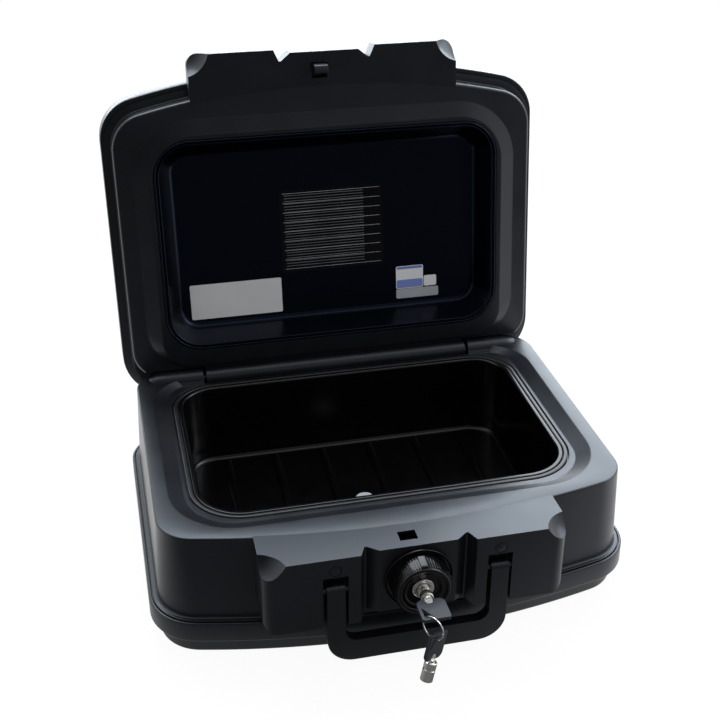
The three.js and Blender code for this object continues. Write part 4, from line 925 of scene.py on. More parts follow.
    def fairing(self, side: int) -> Object:
        """The round-nosed cover over one end of the hinge.

        Args:
            side: 1 for the right end and -1 for the left.

        Returns:
            The piece.
        """
        radius = self.fairing_radius
        nose = self.fairing_end - self.fairing_nose
        profile = [(0.0, HINGE_HALF_GAP), (radius - 0.7, HINGE_HALF_GAP), (radius, HINGE_HALF_GAP + 0.7)]
        profile += [(radius, nose)]
        for i in range(1, 10):
            t = i / 10 * math.pi / 2
            profile.append((radius * math.cos(t) ** 0.7, nose + self.fairing_nose * math.sin(t)))
        profile.append((0.0, self.fairing_end))
        mesh = turned(profile, 48)
        place = shifted(0.0, HINGE_Y, HINGE_Z) @ rotated(-90 * side, Axis.Z)
        bmesh.ops.transform(mesh, matrix=place, verts=mesh.verts)
        keep = box((-200.0, 100.0, HINGE_Z - 5.0), (200.0, BODY_REAR, 130.0))
        mesh = combine(mesh, Operation.KEEP_COMMON, keep)
        ledge = PARTING_Z - self.recess_depth
        top = [(HINGE_Y, ledge - 2.0), (HINGE_Y, HINGE_Z + radius * 0.72)]
        top += [(HINGE_Y - radius * 0.5, HINGE_Z + radius * 0.866),
                (HINGE_Y - radius * 0.7, HINGE_Z + radius * 0.7), (self.bed_front, ledge + 0.4)]
        top += [(self.bed_front - 1.7, ledge), (self.bed_front - 1.7, ledge - 2.0)]
        ends = (HINGE_HALF_GAP, nose) if side > 0 else (-nose, -HINGE_HALF_GAP)
        skirt = plate(top, *ends, Axis.X)
        far = self.fairing_end + 1.0
        corner = [(HINGE_HALF_GAP - 1.0, 90.0), (far, 90.0), (far, HINGE_Y),
                  (nose, HINGE_Y - radius * 0.7), (HINGE_HALF_GAP - 1.0, 110.0)]
        corner = [(side * x, y) for x, y in corner]
        trimmed = combine(skirt, Operation.CUT, plate(corner, ledge - 3.0, 130.0))
        name = "hinge_fairing_right" if side > 0 else "hinge_fairing_left"
        return Piece(name, Body.BASE, (), "body_plastic").make(joined(mesh, trimmed), CHARCOAL)

    def tub(self) -> Object:
        """The liner with its rolled lip and floor ribs.

        Returns:
            The piece.
        """
        lip = PARTING_Z - self.recess_depth + 0.4
        inset = -self.tub_draft - self.tub_fillet
        low = self.floor_z + self.tub_fillet
        skin = Skin()
        skin.level(OPENING_PLAN, inset, self.floor_z - self.tub_wall)
        skin.rounding(OPENING_PLAN, inset, low, self.tub_fillet + self.tub_wall, -90, 0, 6)
        skin.levels(OPENING_PLAN, (self.tub_wall, self.collar_low), (self.collar_outset, self.collar_high))
        skin.rounding(OPENING_PLAN, 2.3, lip - 0.5, 0.5, 0, 90, 3)
        skin.level(OPENING_PLAN, 1.2, lip)
        skin.rounding(OPENING_PLAN, 0.4, lip - 2.2, 2.2, 80, 180, 6)
        skin.rounding(OPENING_PLAN, inset, low, self.tub_fillet, 0, -90, 8)
        ribs = [self.rib((i - (self.rib_count - 1) / 2) * self.rib_pitch) for i in range(self.rib_count)]
        piece = Piece("base_liner", Body.BASE, ("base_tub",), "liner_plastic")
        return piece.make(joined(skin.capped(), *ribs), LINER)

    def rib(self, x: float) -> BMesh:
        """One low rib across the floor.

        Args:
            x: Middle of the rib.

        Returns:
            The rib, which stands on the floor.
        """
        curve = [(x + 4.05 * u, self.floor_z + self.rib_rise * v) for u, v in arc(0, 0, 1, 172, 8, 14)]
        feet = [(x + side * self.rib_half, self.floor_z - 1.0) for side in (-1, 1)]
        return plate([feet[0], *curve, feet[1]], *self.rib_span, Axis.Y)

    def strip(self) -> Object:
        """The soft strip in the channel.

        Returns:
            The piece.
        """
        inner = CHANNEL_INNER + SEAT_GAP
        outer = inner + self.strip_width
        soft = self.strip_round
        top = PARTING_Z - self.recess_depth + 0.3
        skin = Skin()
        skin.levels(OPENING_PLAN, (inner, self.strip_bottom), (outer, self.strip_bottom))
        skin.rounding(OPENING_PLAN, outer - soft, top - soft, soft, 0, 90, 4)
        skin.rounding(OPENING_PLAN, inner + soft, top - soft, soft, 90, 180, 4)
        piece = Piece("soft_strip", Body.BASE, ("gasket",), "gasket_rubber")
        return piece.make(skin.as_ring(), SOFT_STRIP)

    def plug(self) -> Object:
        """The domed plug in the floor.

        Returns:
            The piece.
        """
        top, rim = self.plug_rise, 0.9
        profile = [(0.0, -2.5), (5.0, -2.5), (5.0, 0.3), (8.2, 0.3)]
        profile += arc(8.1, 0.8, 0.5, -60, 0, 3)
        for angle in map(math.radians, range(10, 90, 10)):
            profile.append((self.plug_radius * math.cos(angle), rim + (top - rim) * math.sin(angle)))
        profile.append((0.0, top))
        mesh = turned(profile, 48)
        place = shifted(0.0, self.plug_y, self.floor_z) @ rotated(90, Axis.X)
        piece = Piece("floor_plug", Body.BASE, ("fill_plug",), "plug_plastic")
        return piece.make(mesh, PALE_PLUG, place)

    def build(self) -> None:
        """Builds the base's pieces."""
        self.tray()
        self.shell()
        for side in (1, -1):
            self.fairing(side)
        self.tub()
        self.strip()
        self.plug()


@dataclass
class LidBody:
    """The lid: rim with plug and barrel, cover, and pan. It is built shut and swung open."""

    edge_radius: float = 2.8
    band_height: float = 22.0
    band_outset: float = 12.5
    crown_rise: float = 22.0
    crown_radius: float = 13.0
    corner_start: float = 184.5
    dome_inset: float = 46.0
    dome_drop: float = 1.6
    notch_height: float = 12.0
    plug_z: float = 107.9
    cavity_draft: float = 10.5
    cavity_fillet: float = 6.0
    pan_lip: float = 3.2

    def rim(self) -> Object:
        """The wall, the land, the plug and the barrel.

        Returns:
            The piece.
        """
        notch = LID_Z + self.notch_height
        r = self.edge_radius
        skin = Skin()
        skin.level(LID_SIDE_PLAN, SEAM_OUTSET, LID_LEDGE_Z + 2.5)
        skin.rounding(LID_SIDE_PLAN, SEAM_OUTSET - 0.2, LID_LEDGE_Z + 0.2, 0.2, 0, -90, 2)
        skin.rounding(LID_SIDE_PLAN, 1.5, LID_LEDGE_Z - 1.5, 1.5, 90, 180, 4)
        skin.level(LID_SIDE_PLAN, 0.0, notch)
        skin.level(LID_LOW_PLAN, 0.0, notch)
        skin.rounding(LID_LOW_PLAN, -r, LID_Z + r, r, 0, -90, 5)
        plug, lip = self.plug_z, self.pan_lip
        skin.levels(PLUG_PLAN, (1.0, LID_Z), (0.3, LID_Z - 0.15), (-0.5, LID_Z - 0.45))
        skin.levels(PLUG_FACE_PLAN, (0.9, plug + 0.42), (0.0, plug + 0.08), (-0.8, plug))
        skin.levels(CAVITY_PLAN, (lip + 0.9, plug), (lip + SEAT_GAP, plug + 0.6),
                    (lip + SEAT_GAP, plug + SHELL_WALL))
        skin.level(PLUG_FACE_PLAN, -1.0, plug + SHELL_WALL)
        skin.level(PLUG_PLAN, -SHELL_WALL, LID_Z + SHELL_WALL)
        skin.levels(LID_LOW_PLAN, (-SHELL_WALL, LID_Z + SHELL_WALL), (-SHELL_WALL, notch + SHELL_WALL))
        skin.levels(LID_SIDE_PLAN, (-SHELL_WALL, notch + SHELL_WALL), (-SHELL_WALL, LID_LEDGE_Z + 2.5))
        profile = [(0.0, -BARREL_HALF), (BARREL_RADIUS - 0.6, -BARREL_HALF),
                   (BARREL_RADIUS, 0.6 - BARREL_HALF)]
        barrel = turned(profile + [(out, -along) for out, along in reversed(profile)], 56)
        place = shifted(0.0, HINGE_Y, HINGE_Z) @ rotated(90, Axis.Z)
        bmesh.ops.transform(barrel, matrix=place, verts=barrel.verts)
        web = box((-BARREL_HALF + 0.4, 118.0, LID_Z), (BARREL_HALF - 0.4, HINGE_Y + 2.6, LID_Z + 3.6))
        clear = box((-self.corner_start, HINGE_Y - 9.5, LID_Z - 1.0),
                    (self.corner_start, BODY_REAR, notch - 0.5))
        shell = combine(skin.as_ring(), Operation.CUT, clear)
        piece = Piece("lid_lower_moulding", Body.LID, ("lid_rim",), "body_plastic")
        return piece.make(joined(shell, barrel, web), CHARCOAL, opened())

    def cover(self) -> Object:
        """The bumper band and the crown.

        Returns:
            The piece.
        """
        band_top = LID_LEDGE_Z + self.band_height
        crown_z = band_top + self.crown_rise
        inner = SEAM_OUTSET + 0.15
        centre = 4.5 - self.crown_radius
        height = crown_z - self.dome_drop - self.crown_radius
        skin = Skin()
        skin.level(BODY_PLAN, -self.dome_inset, crown_z - SHELL_WALL)
        skin.rounding(BODY_PLAN, centre, height, self.crown_radius - SHELL_WALL, 90, 0, 4)
        skin.level(BODY_PLAN, 1.5, band_top - 1.0)
        skin.levels(LID_SIDE_PLAN, (inner - 2.5, band_top - SHELL_WALL - 1.0),
                    (inner - 2.5, LID_LEDGE_Z + 2.8), (inner, LID_LEDGE_Z + 2.8),
                    (inner, LID_LEDGE_Z + 0.3), (inner + 0.2, LID_LEDGE_Z + 0.1))
        skin.rounding(LID_BAND_PLAN, self.band_outset - 1.6, LID_LEDGE_Z + 1.4, 1.3, -90, 0, 4)
        skin.rounding(LID_BAND_PLAN, self.band_outset - 2.6, band_top - 2.6, 2.6, 4, 90, 5)
        skin.rounding(BODY_PLAN, 5.7, band_top + 1.2, 1.2, 270, 180, 3)
        skin.rounding(BODY_PLAN, centre, height, self.crown_radius, 0, 86, 8)
        skin.level(BODY_PLAN, -self.dome_inset * 0.5, crown_z - self.dome_drop * 0.35)
        skin.level(BODY_PLAN, -self.dome_inset, crown_z)
        piece = Piece("lid_upper_moulding", Body.LID, ("lid_cover",), "body_plastic")
        return piece.make(skin.capped(), CHARCOAL, opened())

    def pan(self) -> Object:
        """The pan that lines the cavity.

        Returns:
            The piece.
        """
        inset = -self.cavity_draft - self.cavity_fillet
        lip = self.plug_z - 0.8
        deep = PAN_Z - self.cavity_fillet
        skin = Skin()
        skin.level(CAVITY_PLAN, inset, PAN_Z + 2.5)
        skin.rounding(CAVITY_PLAN, inset, deep, self.cavity_fillet + 2.5, 90, 0, 5)
        skin.level(CAVITY_PLAN, self.pan_lip - 0.6, self.plug_z + SHELL_WALL + 1.2)
        skin.level(CAVITY_PLAN, self.pan_lip, self.plug_z + SHELL_WALL)
        skin.rounding(CAVITY_PLAN, self.pan_lip - 0.9, lip + 0.9, 0.9, 0, -170, 8)
        skin.level(CAVITY_PLAN, 1.0, lip + 1.3)
        skin.rounding(CAVITY_PLAN, -0.4, lip + 1.9, 1.1, -10, -180, 7)
        skin.rounding(CAVITY_PLAN, inset, deep, self.cavity_fillet, 0, 90, 7)
        piece = Piece("lid_pan_liner", Body.LID, ("lid_pan",), "liner_plastic")
        return piece.make(skin.capped(), LID_LINER, opened())

    def build(self) -> None:
        """Builds the lid's pieces."""
        self.rim()
        self.cover()
        self.pan()


@dataclass
class LatchHousings:
    """The covers on the front of base and lid, with the hook and the caps."""

    bottom: float = 46.3
    edge_radius: float = 11.0
    foot_radius: float = 12.0
    wall: float = 2.5
    groove_outer: float = 46.0
    groove_apex: float = 41.5
    groove_apex_width: float = 1.8
    groove_inner: float = 31.0
    groove_depth: float = 10.0
    scoop_radius: float = 28.2
    scoop_offset: float = 6.0
    scoop_rise: float = 12.0
    lid_face: float = 28.0
    floor: float = 5.1
    room_half: float = 49.0
    room_depth: float = 13.0
    slot_width: float = 20.0
    slot_top: float = 94.3
    slot_depth: float = 8.0
    cap_z: float = 100.4
    cap_bore: float = 4.9
    base_hook_room: tuple[float, float] = (-160.3, -149.2)
    lid_hook_room: tuple[float, float] = (-158.8, -145.0)
    lid_hook_height: float = 17.0
    edge: float = 0.9
    lid_edge: float = 1.4
    overlap: float = 1.2
    proud: float = 0.02

    def plan(self, inset: float) -> Points:
        """The housing's plan, from behind the wall's face out to its grooved front.

        Args:
            inset: How far the plan runs in over the wall's rounded edge.

        Returns:
            The outline.
        """
        half, r, front = HOUSING_HALF, self.edge_radius, HOUSING_FRONT
        apex = front + self.groove_depth
        seat = BODY_PLAN.bow_radius - inset
        centre = BODY_FRONT + BODY_PLAN.bow_radius
        sweep = math.degrees(math.asin(half / seat))
        points = arc(r - half, front + r, r, 180, 270, 10)
        groove = [(self.groove_outer, front), (self.groove_apex, apex),
                  (self.groove_apex - self.groove_apex_width, apex), (self.groove_inner, PANEL_FRONT)]
        points += [(-x, y) for x, y in groove]
        points += reversed(groove)
        points += arc(half - r, front + r, r, 270, 360, 10)
        points += arc(0.0, centre, seat, 270 + sweep, 270 - sweep, 40)
        return points

    def scoops(self, height: float) -> list[BMesh]:
        """The round finger scoops at both front corners.

        Args:
            height: Height of the scoops' centres.

        Returns:
            Two balls to cut away.
        """
        balls = []
        out, front = HOUSING_HALF + self.scoop_offset, HOUSING_FRONT - self.scoop_offset
        for side in (-1, 1):
            ball = bmesh.new()
            bmesh.ops.create_uvsphere(ball, u_segments=64, v_segments=40, radius=self.scoop_radius * MM)
            bmesh.ops.translate(ball, vec=Vector((side * out, front, height)) * MM, verts=ball.verts)
            balls.append(ball)
        return balls

    def base_cover(self) -> Object:
        """The cover on the base.

        Returns:
            The piece.
        """
        behind = BODY_FRONT + 40.0
        floor, high = self.bottom + self.floor, PARTING_Z - self.wall
        f, half, front = self.foot_radius, self.room_half, HOUSING_FRONT
        face = rounded_rectangle(-HOUSING_HALF, HOUSING_HALF, self.bottom, PARTING_Z + 1.0, (f, f, 0, 0), 10)
        plan = self.plan(BaseBody.rim_round + self.overlap)
        solid = combine(plate(plan, self.bottom - 1.0, PARTING_Z + self.proud), Operation.KEEP_COMMON,
                        plate(face, front - 1.0, behind, Axis.Y))
        apex = self.groove_apex
        hook_left, hook_right = HOOK_LEFT - HOOK_CLEARANCE, HOOK_RIGHT + HOOK_CLEARANCE
        tools = [
            *self.scoops(PARTING_Z + self.scoop_rise),
            box((-apex, front - 1, self.bottom - 1), (apex, front + self.groove_depth, floor)),
            box((-half, front + self.room_depth, floor + self.wall), (half, behind, high)),
            box((hook_left, self.base_hook_room[0], high - 1),
                (hook_right, self.base_hook_room[1], PARTING_Z + 1)),
            disc(Axis.Y, 0.0, KNOB_Z, SPINDLE_BORE, PANEL_FRONT - 1, front + 14),
        ]
        for x in (-HANDLE_X, HANDLE_X):
            tools.append(box((x - self.slot_width / 2, front - 1, self.bottom - 2),
                             (x + self.slot_width / 2, front + self.slot_depth, self.slot_top)))
            tools.append(disc(Axis.Y, x, self.cap_z, self.cap_bore, front - 1, front + 5))
        piece = Piece("base_latch_cover", Body.BASE, ("latch_housing",), "body_plastic", bevel=self.edge)
        return piece.make(combine(solid, Operation.CUT, *tools), CHARCOAL)

    def lid_cover(self) -> Object:
        """Its counterpart on the lid.

        Returns:
            The piece.
        """
        top = LID_LEDGE_Z - SEAT_GAP
        low = LID_Z - 1.0
        side = [(HOUSING_FRONT - 1, low), (BODY_FRONT + 40, low), (BODY_FRONT + 40, top),
                (BODY_FRONT - SEAM_OUTSET, top), (HOUSING_FRONT, LID_Z + self.lid_face),
                (HOUSING_FRONT - 1, LID_Z + self.lid_face)]
        plan = self.plan(LidBody.edge_radius + self.overlap)
        solid = combine(plate(plan, LID_Z - self.proud, top), Operation.KEEP_COMMON,
                        plate(side, -HOUSING_HALF - 1, HOUSING_HALF + 1, Axis.X))
        tools = [*self.scoops(LID_Z - self.scoop_rise),
                 box((HOOK_LEFT - HOOK_CLEARANCE, self.lid_hook_room[0], LID_Z - 1),
                     (HOOK_RIGHT + HOOK_CLEARANCE, self.lid_hook_room[1], LID_Z + self.lid_hook_height))]
        piece = Piece("lid_latch_cover", Body.LID, ("lid_housing",), "body_plastic", bevel=self.lid_edge)
        return piece.make(combine(solid, Operation.CUT, *tools), CHARCOAL, opened())

    def hook(self) -> Object:
        """The hook under the lid.

        Returns:
            The piece.
        """
        side = [(-158.0, 103.9), (-157.3, 101.6), (-155.8, 100.4), (-153.0, 99.9), (-150.5, 99.9),
                (-150.5, 102.4), (-155.0, 102.4), (-155.0, 121.5), (-158.0, 121.5)]
        piece = Piece("lid_catch", Body.LID, ("lid_hook",), "body_plastic", bevel=0.4)
        return piece.make(plate(side, HOOK_LEFT, HOOK_RIGHT, Axis.X), CHARCOAL, opened())

    def cap(self, side: int) -> Object:
        """A flush cap over a screw.

        Args:
            side: 1 for the right cap and -1 for the left.

        Returns:
            The piece.
        """
        profile = [(0.0, 2.0), (4.6, 2.0), (4.6, 0.5), (4.45, 0.15), (4.1, 0.0), (0.0, 0.0)]
        place = shifted(side * HANDLE_X, HOUSING_FRONT + 0.1, self.cap_z)
        name = "right" if side > 0 else "left"
        piece = Piece(f"cover_cap_{name}", Body.BASE, (f"screw_cap_{name}",), "body_plastic")
        return piece.make(turned(profile), CHARCOAL, place)

    def build(self) -> None:
        """Builds the housings' pieces."""
        self.base_cover()
        self.lid_cover()
        self.hook()
        for side in (1, -1):
            self.cap(side)


@dataclass
class KnobLock:
    """The escutcheon, the ribbed knob and the tubular lock in its middle."""

    escutcheon_radius: float = 27.5
    escutcheon_front: float = -174.3
    bead: float = 0.4
    knob_radius: float = 23.0
    knob_back: float = -174.6
    knob_front: float = -187.6
    rib_count: int = 68
    rib_depth: float = 1.3
    taper: float = 0.9
    lock_face: float = -184.2
    core_seat: float = -179.1
    face_steps: tuple[tuple[float, float], ...] = (
        (21.3, 0.9), (20.9, 0.3), (20.3, 0.0), (18.9, 0.0), (18.4, 0.3), (17.9, 1.7), (17.5, 1.9),
        (14.9, 2.0), (14.5, 2.3), (14.0, 3.7), (13.6, 3.9), (9.6, 4.0), (9.4, 5.4), (7.9, 5.4),
    )

    def escutcheon(self) -> Object:
        """The round plate behind the knob.

        Returns:
            The piece.
        """
        back, front, r = PANEL_FRONT - SEAT_GAP, self.escutcheon_front, self.escutcheon_radius
        profile = [(SPINDLE_BORE, back), (r, back)]
        profile += arc(r - self.bead, back - 2.4, self.bead, 0, -180, 6)
        profile += [(r - 2.0, back - 1.2), (21.5, back - 1.2), (20.5, front), (SPINDLE_BORE, front),
                    (SPINDLE_BORE, back)]
        piece = Piece("knob_ring", Body.BASE, ("escutcheon",), "knob_plastic")
        return piece.make(turned(profile, 96), KNOB_BLACK, shifted(0, 0, KNOB_Z))

    def grip_radius(self, angle: float) -> float:
        """Radius of the grip at an angle.

        Args:
            angle: Angle in radians from the top.

        Returns:
            The radius of the ribbed edge there.
        """
        turn = abs((angle + math.pi) % math.tau - math.pi)
        if turn < math.radians(7):
            return self.knob_radius + 0.6
        wave = math.cos(angle * self.rib_count)
        return self.knob_radius - self.rib_depth * (0.0 if wave > 0.1 else 1.0)

    def knob(self) -> Object:
        """The knob with its ribs, stepped face and dished middle.

        Returns:
            The piece.
        """
        count = self.rib_count * 8
        mesh = bmesh.new()
        ring = bmesh.ops.create_circle(mesh, segments=count, radius=1.0)["verts"]
        angles = [math.tau * i / count for i in range(count)]
        face_start = self.knob_front + 1.5

        def set_ring(verts: list[BMVert], y: float, radii: list[float]) -> None:
            """Places a ring's vertices.

            Args:
                verts: The ring.
                y: Its place along Y.
                radii: Its radius at each vertex.
            """
            for vert, angle, r in zip(verts, angles, radii):
                vert.co = (r * math.sin(angle) * MM, y * MM, (KNOB_Z + r * math.cos(angle)) * MM)

        grip = [self.grip_radius(a) for a in angles]
        first = list(ring)
        set_ring(ring, self.knob_back, [g + self.taper for g in grip])
        steps = [(face_start + 0.7, grip), (face_start + 0.2, [g - 0.25 for g in grip]),
                 (face_start, [min(g, self.knob_radius - self.rib_depth) - 0.3 for g in grip])]
        steps += [(self.knob_front + depth, [r] * count) for r, depth in self.face_steps]
        steps.append((self.knob_back, [self.face_steps[-1][0]] * count))
        for y, radii in steps:
            ring = extruded(mesh, ring)
            set_ring(ring, y, radii)
        bmesh.ops.bridge_loops(mesh, edges=edges_of(first) + edges_of(ring))
        piece = Piece("ribbed_knob", Body.KNOB, ("knob",), "knob_plastic")
        return piece.make(outward(mesh), KNOB_BLACK)

    def lock_body(self) -> Object:
        """The chromed face and the bore of the lock.

        Returns:
            The piece.
        """
        back = self.knob_back - 1.0
        front = self.lock_face
        profile = [(5.4, back), (7.6, back), (7.6, front + 1.3), (8.9, front + 1.3), (8.9, front + 0.8)]
        profile += arc(8.1, front + 0.8, 0.8, 0, -90, 5)
        profile += [(6.4, front), (6.1, front + 0.5), (5.6, front + 0.5), (5.4, front + 0.8), (5.4, back)]
        piece = Piece("lock_face", Body.KNOB, ("lock_cylinder",), "lock_chrome")
        return piece.make(turned(profile, 72), NICKEL, shifted(0, 0, KNOB_Z))

    def lock_core(self) -> Object:
        """The turning core with the post that the key's tube slides over.

        Returns:
            The piece.
        """
        back, seat, face = self.knob_back - 1.0, self.core_seat, self.lock_face
        profile = [(0.0, TAIL_END), (TAIL_RADIUS, TAIL_END), (TAIL_RADIUS, back), (5.1, back), (5.1, seat),
                   (3.2, seat), (3.2, face + 1.0), (2.7, face + 0.5), (0.0, face + 0.5)]
        piece = Piece("lock_core", Body.LOCK, ("lock_plug",), "lock_brass")
        return piece.make(turned(profile, 48), BRASS, shifted(0, 0, KNOB_Z))

    def build(self) -> None:
        """Builds the knob's pieces."""
        self.escutcheon()
        self.knob()
        self.lock_body()
        self.lock_core()


@dataclass
class Keys:
    """The key in the lock, the split ring and the spare key."""

    tube_radius: float = 5.0
    tube_bore: float = 3.5
    tube_length: float = 14.5
    tang_width: float = 6.0
    tang_length: float = 8.0
    tang_in_bow: float = 4.5
    bow_width: float = 22.5
    bow_length: float = 22.5
    bow_thickness: float = 3.0
    hole_edge: float = 2.4
    hole_leg: float = 11.5
    hole_width: float = 7.0
    mouth_y: float = -179.4
    bow_shift: float = 0.75
    ring_radius: float = 9.7
    ring_wire: float = 0.65
    ring_windings: float = 1.98
    ring_steps: int = 140
    ring_lead: float = 0.0045
    ring_centre: Triple = (-2.4, -220.0, 74.4)
    ring_turn: float = 56.0
    spare_turn: float = 38.0
    spare_tilt: float = 21.0

    def shank(self) -> BMesh:
        """The tube, its neck and the tang, drawn about the key's own axis.

        Returns:
            The mesh, with the tube's mouth at Y = 0.
        """
        r, bore, long = self.tube_radius, self.tube_bore, self.tube_length
        profile = [(bore, -long), (bore, -0.3), (bore + 0.3, 0.0), (r - 0.4, 0.0), (r, -0.4)]
        profile += [(r, 5.2 - long), (r - 0.5, 4.9 - long), (r - 0.5, 4.1 - long), (r, 3.8 - long)]
        profile += [(r, -long - 0.9), (r - 0.6, -long - 1.5), (3.2, -long - 1.5), (3.0, -long - 3.0)]
        tube = turned(profile + [(0.0, -long - 3.0), (0.0, -long), (bore, -long)], 48)
        hole = disc(Axis.Z, 0.0, -8.2, 0.8, 3.0, 6.0, 16)
        bmesh.ops.transform(hole, matrix=rotated(-19, Axis.Y), verts=hole.verts)
        tube = combine(tube, Operation.CUT, hole)
        half = self.tang_width / 2
        tang = plate(rounded_rectangle(-half, half, -long - self.tang_length, -long - 1.0,
                                       (half - 0.2, half - 0.2, 0, 0)), -1.2, 1.2)
        return joined(tube, tang)

    def bow(self, shift: float) -> BMesh:
        """The plastic bow with its triangular hole.

        Args:
            shift: How far the bow sits to one side of the key's axis.

        Returns:
            The mesh about the key's own axis.
        """
        near = -self.tube_length - self.tang_length + self.tang_in_bow
        far = near - self.bow_length
        left, right = shift - self.bow_width / 2, shift + self.bow_width / 2
        half = self.bow_thickness / 2
        solid = plate(rounded_rectangle(left, right, far, near, (2.5, 2.5, 5.0, 5.0)), -half, half)
        x, y = left + self.hole_edge, far + self.hole_edge
        hole = [(x, y), (x + self.hole_width, y), (x, y + self.hole_leg)]
        slot_half = self.tang_width / 2 + SEAT_GAP
        slot = rounded_rectangle(-slot_half, slot_half, near - self.tang_in_bow - SEAT_GAP, near + 1,
                                 (slot_half - 0.2, slot_half - 0.2, 0, 0))
        return combine(solid, Operation.CUT, plate(hole, -5, 5), plate(slot, -5, 5))

    def split_ring(self) -> Object:
        """The ring, wound twice and pressed flat.

        Returns:
            The piece.
        """
        mesh = bmesh.new()
        bmesh.ops.create_circle(mesh, segments=10, radius=1.0, cap_ends=True)
        wide, high = self.ring_wire * 0.8, self.ring_wire * 0.45
        for vert in mesh.verts:
            vert.co = ((self.ring_radius + vert.co.x * wide) * MM, vert.co.y * high * MM, 0)
        bmesh.ops.spin(mesh, geom=mesh.verts[:] + mesh.edges[:] + mesh.faces[:], cent=(0, 0, 0),
                       axis=(0, 1, 0), dvec=(0, self.ring_lead * MM, 0),
                       angle=math.tau * self.ring_windings, steps=self.ring_steps)
        bmesh.ops.translate(mesh, vec=(0, -0.3 * MM, 0), verts=mesh.verts)
        place = shifted(*self.ring_centre) @ rotated(-self.ring_turn, Axis.Z)
        piece = Piece("split_ring", Body.RING, ("key_ring",), "lock_chrome")
        return piece.make(outward(mesh), NICKEL, place)

    def spare_place(self) -> Matrix:
        """Where the spare key hangs on the ring.

        Returns:
            The move from the key's own axis to its place.
        """
        x, y, z = self.ring_centre
        corner = self.tube_length + self.tang_length - self.tang_in_bow + self.bow_length - self.hole_edge
        hang = shifted(x, y, z - self.ring_radius)
        turn = rotated(self.spare_turn, Axis.Z) @ rotated(self.spare_tilt, Axis.Y) @ rotated(-90, Axis.X)
        own = shifted(self.bow_width / 2 - self.hole_edge - self.ring_wire * 2.5,
                      corner - self.ring_wire - SEAT_GAP, 0)
        return hang @ turn @ own

    def build(self) -> None:
        """Builds both keys and the ring."""
        places = {Body.KEY: shifted(0, self.mouth_y, KNOB_Z), Body.SPARE_KEY: self.spare_place()}
        tube = Piece("key_tube", Body.KEY, ("key_shank",), "lock_chrome", bevel=0.2)
        grip = Piece("key_grip", Body.KEY, ("key_bow",), "key_plastic", bevel=0.5)
        spare_tube = Piece("spare_tube", Body.SPARE_KEY, ("spare_key_shank",), "lock_chrome", bevel=0.2)
        spare_grip = Piece("spare_grip", Body.SPARE_KEY, ("spare_key_bow",), "key_plastic", bevel=0.5)
        tube.make(self.shank(), NICKEL, places[tube.body])
        grip.make(self.bow(self.bow_shift), KEY_GREY, places[grip.body])
        self.split_ring()
        spare_tube.make(self.shank(), NICKEL, places[spare_tube.body])
        spare_grip.make(self.bow(0.0), KEY_GREY, places[spare_grip.body])


@dataclass
class BailHandle:
    """The bail handle in its two slots."""

    arm_width: float = 14.4
    thickness: float = 9.0
    front: float = -173.5
    bottom: float = 11.0
    bar_height: float = 20.0
    pivot_z: float = 81.0
    outer_radius: float = 22.0
    inner_radius: float = 10.0

    def build(self) -> None:
        """Builds the handle as one moulding."""
        outer, inner = HANDLE_X + self.arm_width / 2, HANDLE_X - self.arm_width / 2
        back = self.front + self.thickness
        top = self.pivot_z
        ro, ri = self.outer_radius, self.inner_radius
        whole = rounded_rectangle(-outer, outer, self.bottom, top, (ro, ro, 0, 0), 12)
        window = rounded_rectangle(-inner, inner, self.bottom + self.bar_height, top + 20, (ri, ri, 0, 0), 8)
        mesh = combine(plate(whole, self.front, back, Axis.Y), Operation.CUT,
                       plate(window, self.front - 1, back + 1, Axis.Y))
        middle, radius = (self.front + back) / 2, self.thickness / 2
        ends = [disc(Axis.X, middle, top, radius, *span) for span in ((-outer, -inner), (inner, outer))]
        mesh = combine(mesh, Operation.JOIN, *ends)
        Piece("carry_handle", Body.HANDLE, ("bail_handle",), "body_plastic", bevel=1.0).make(mesh, CHARCOAL)


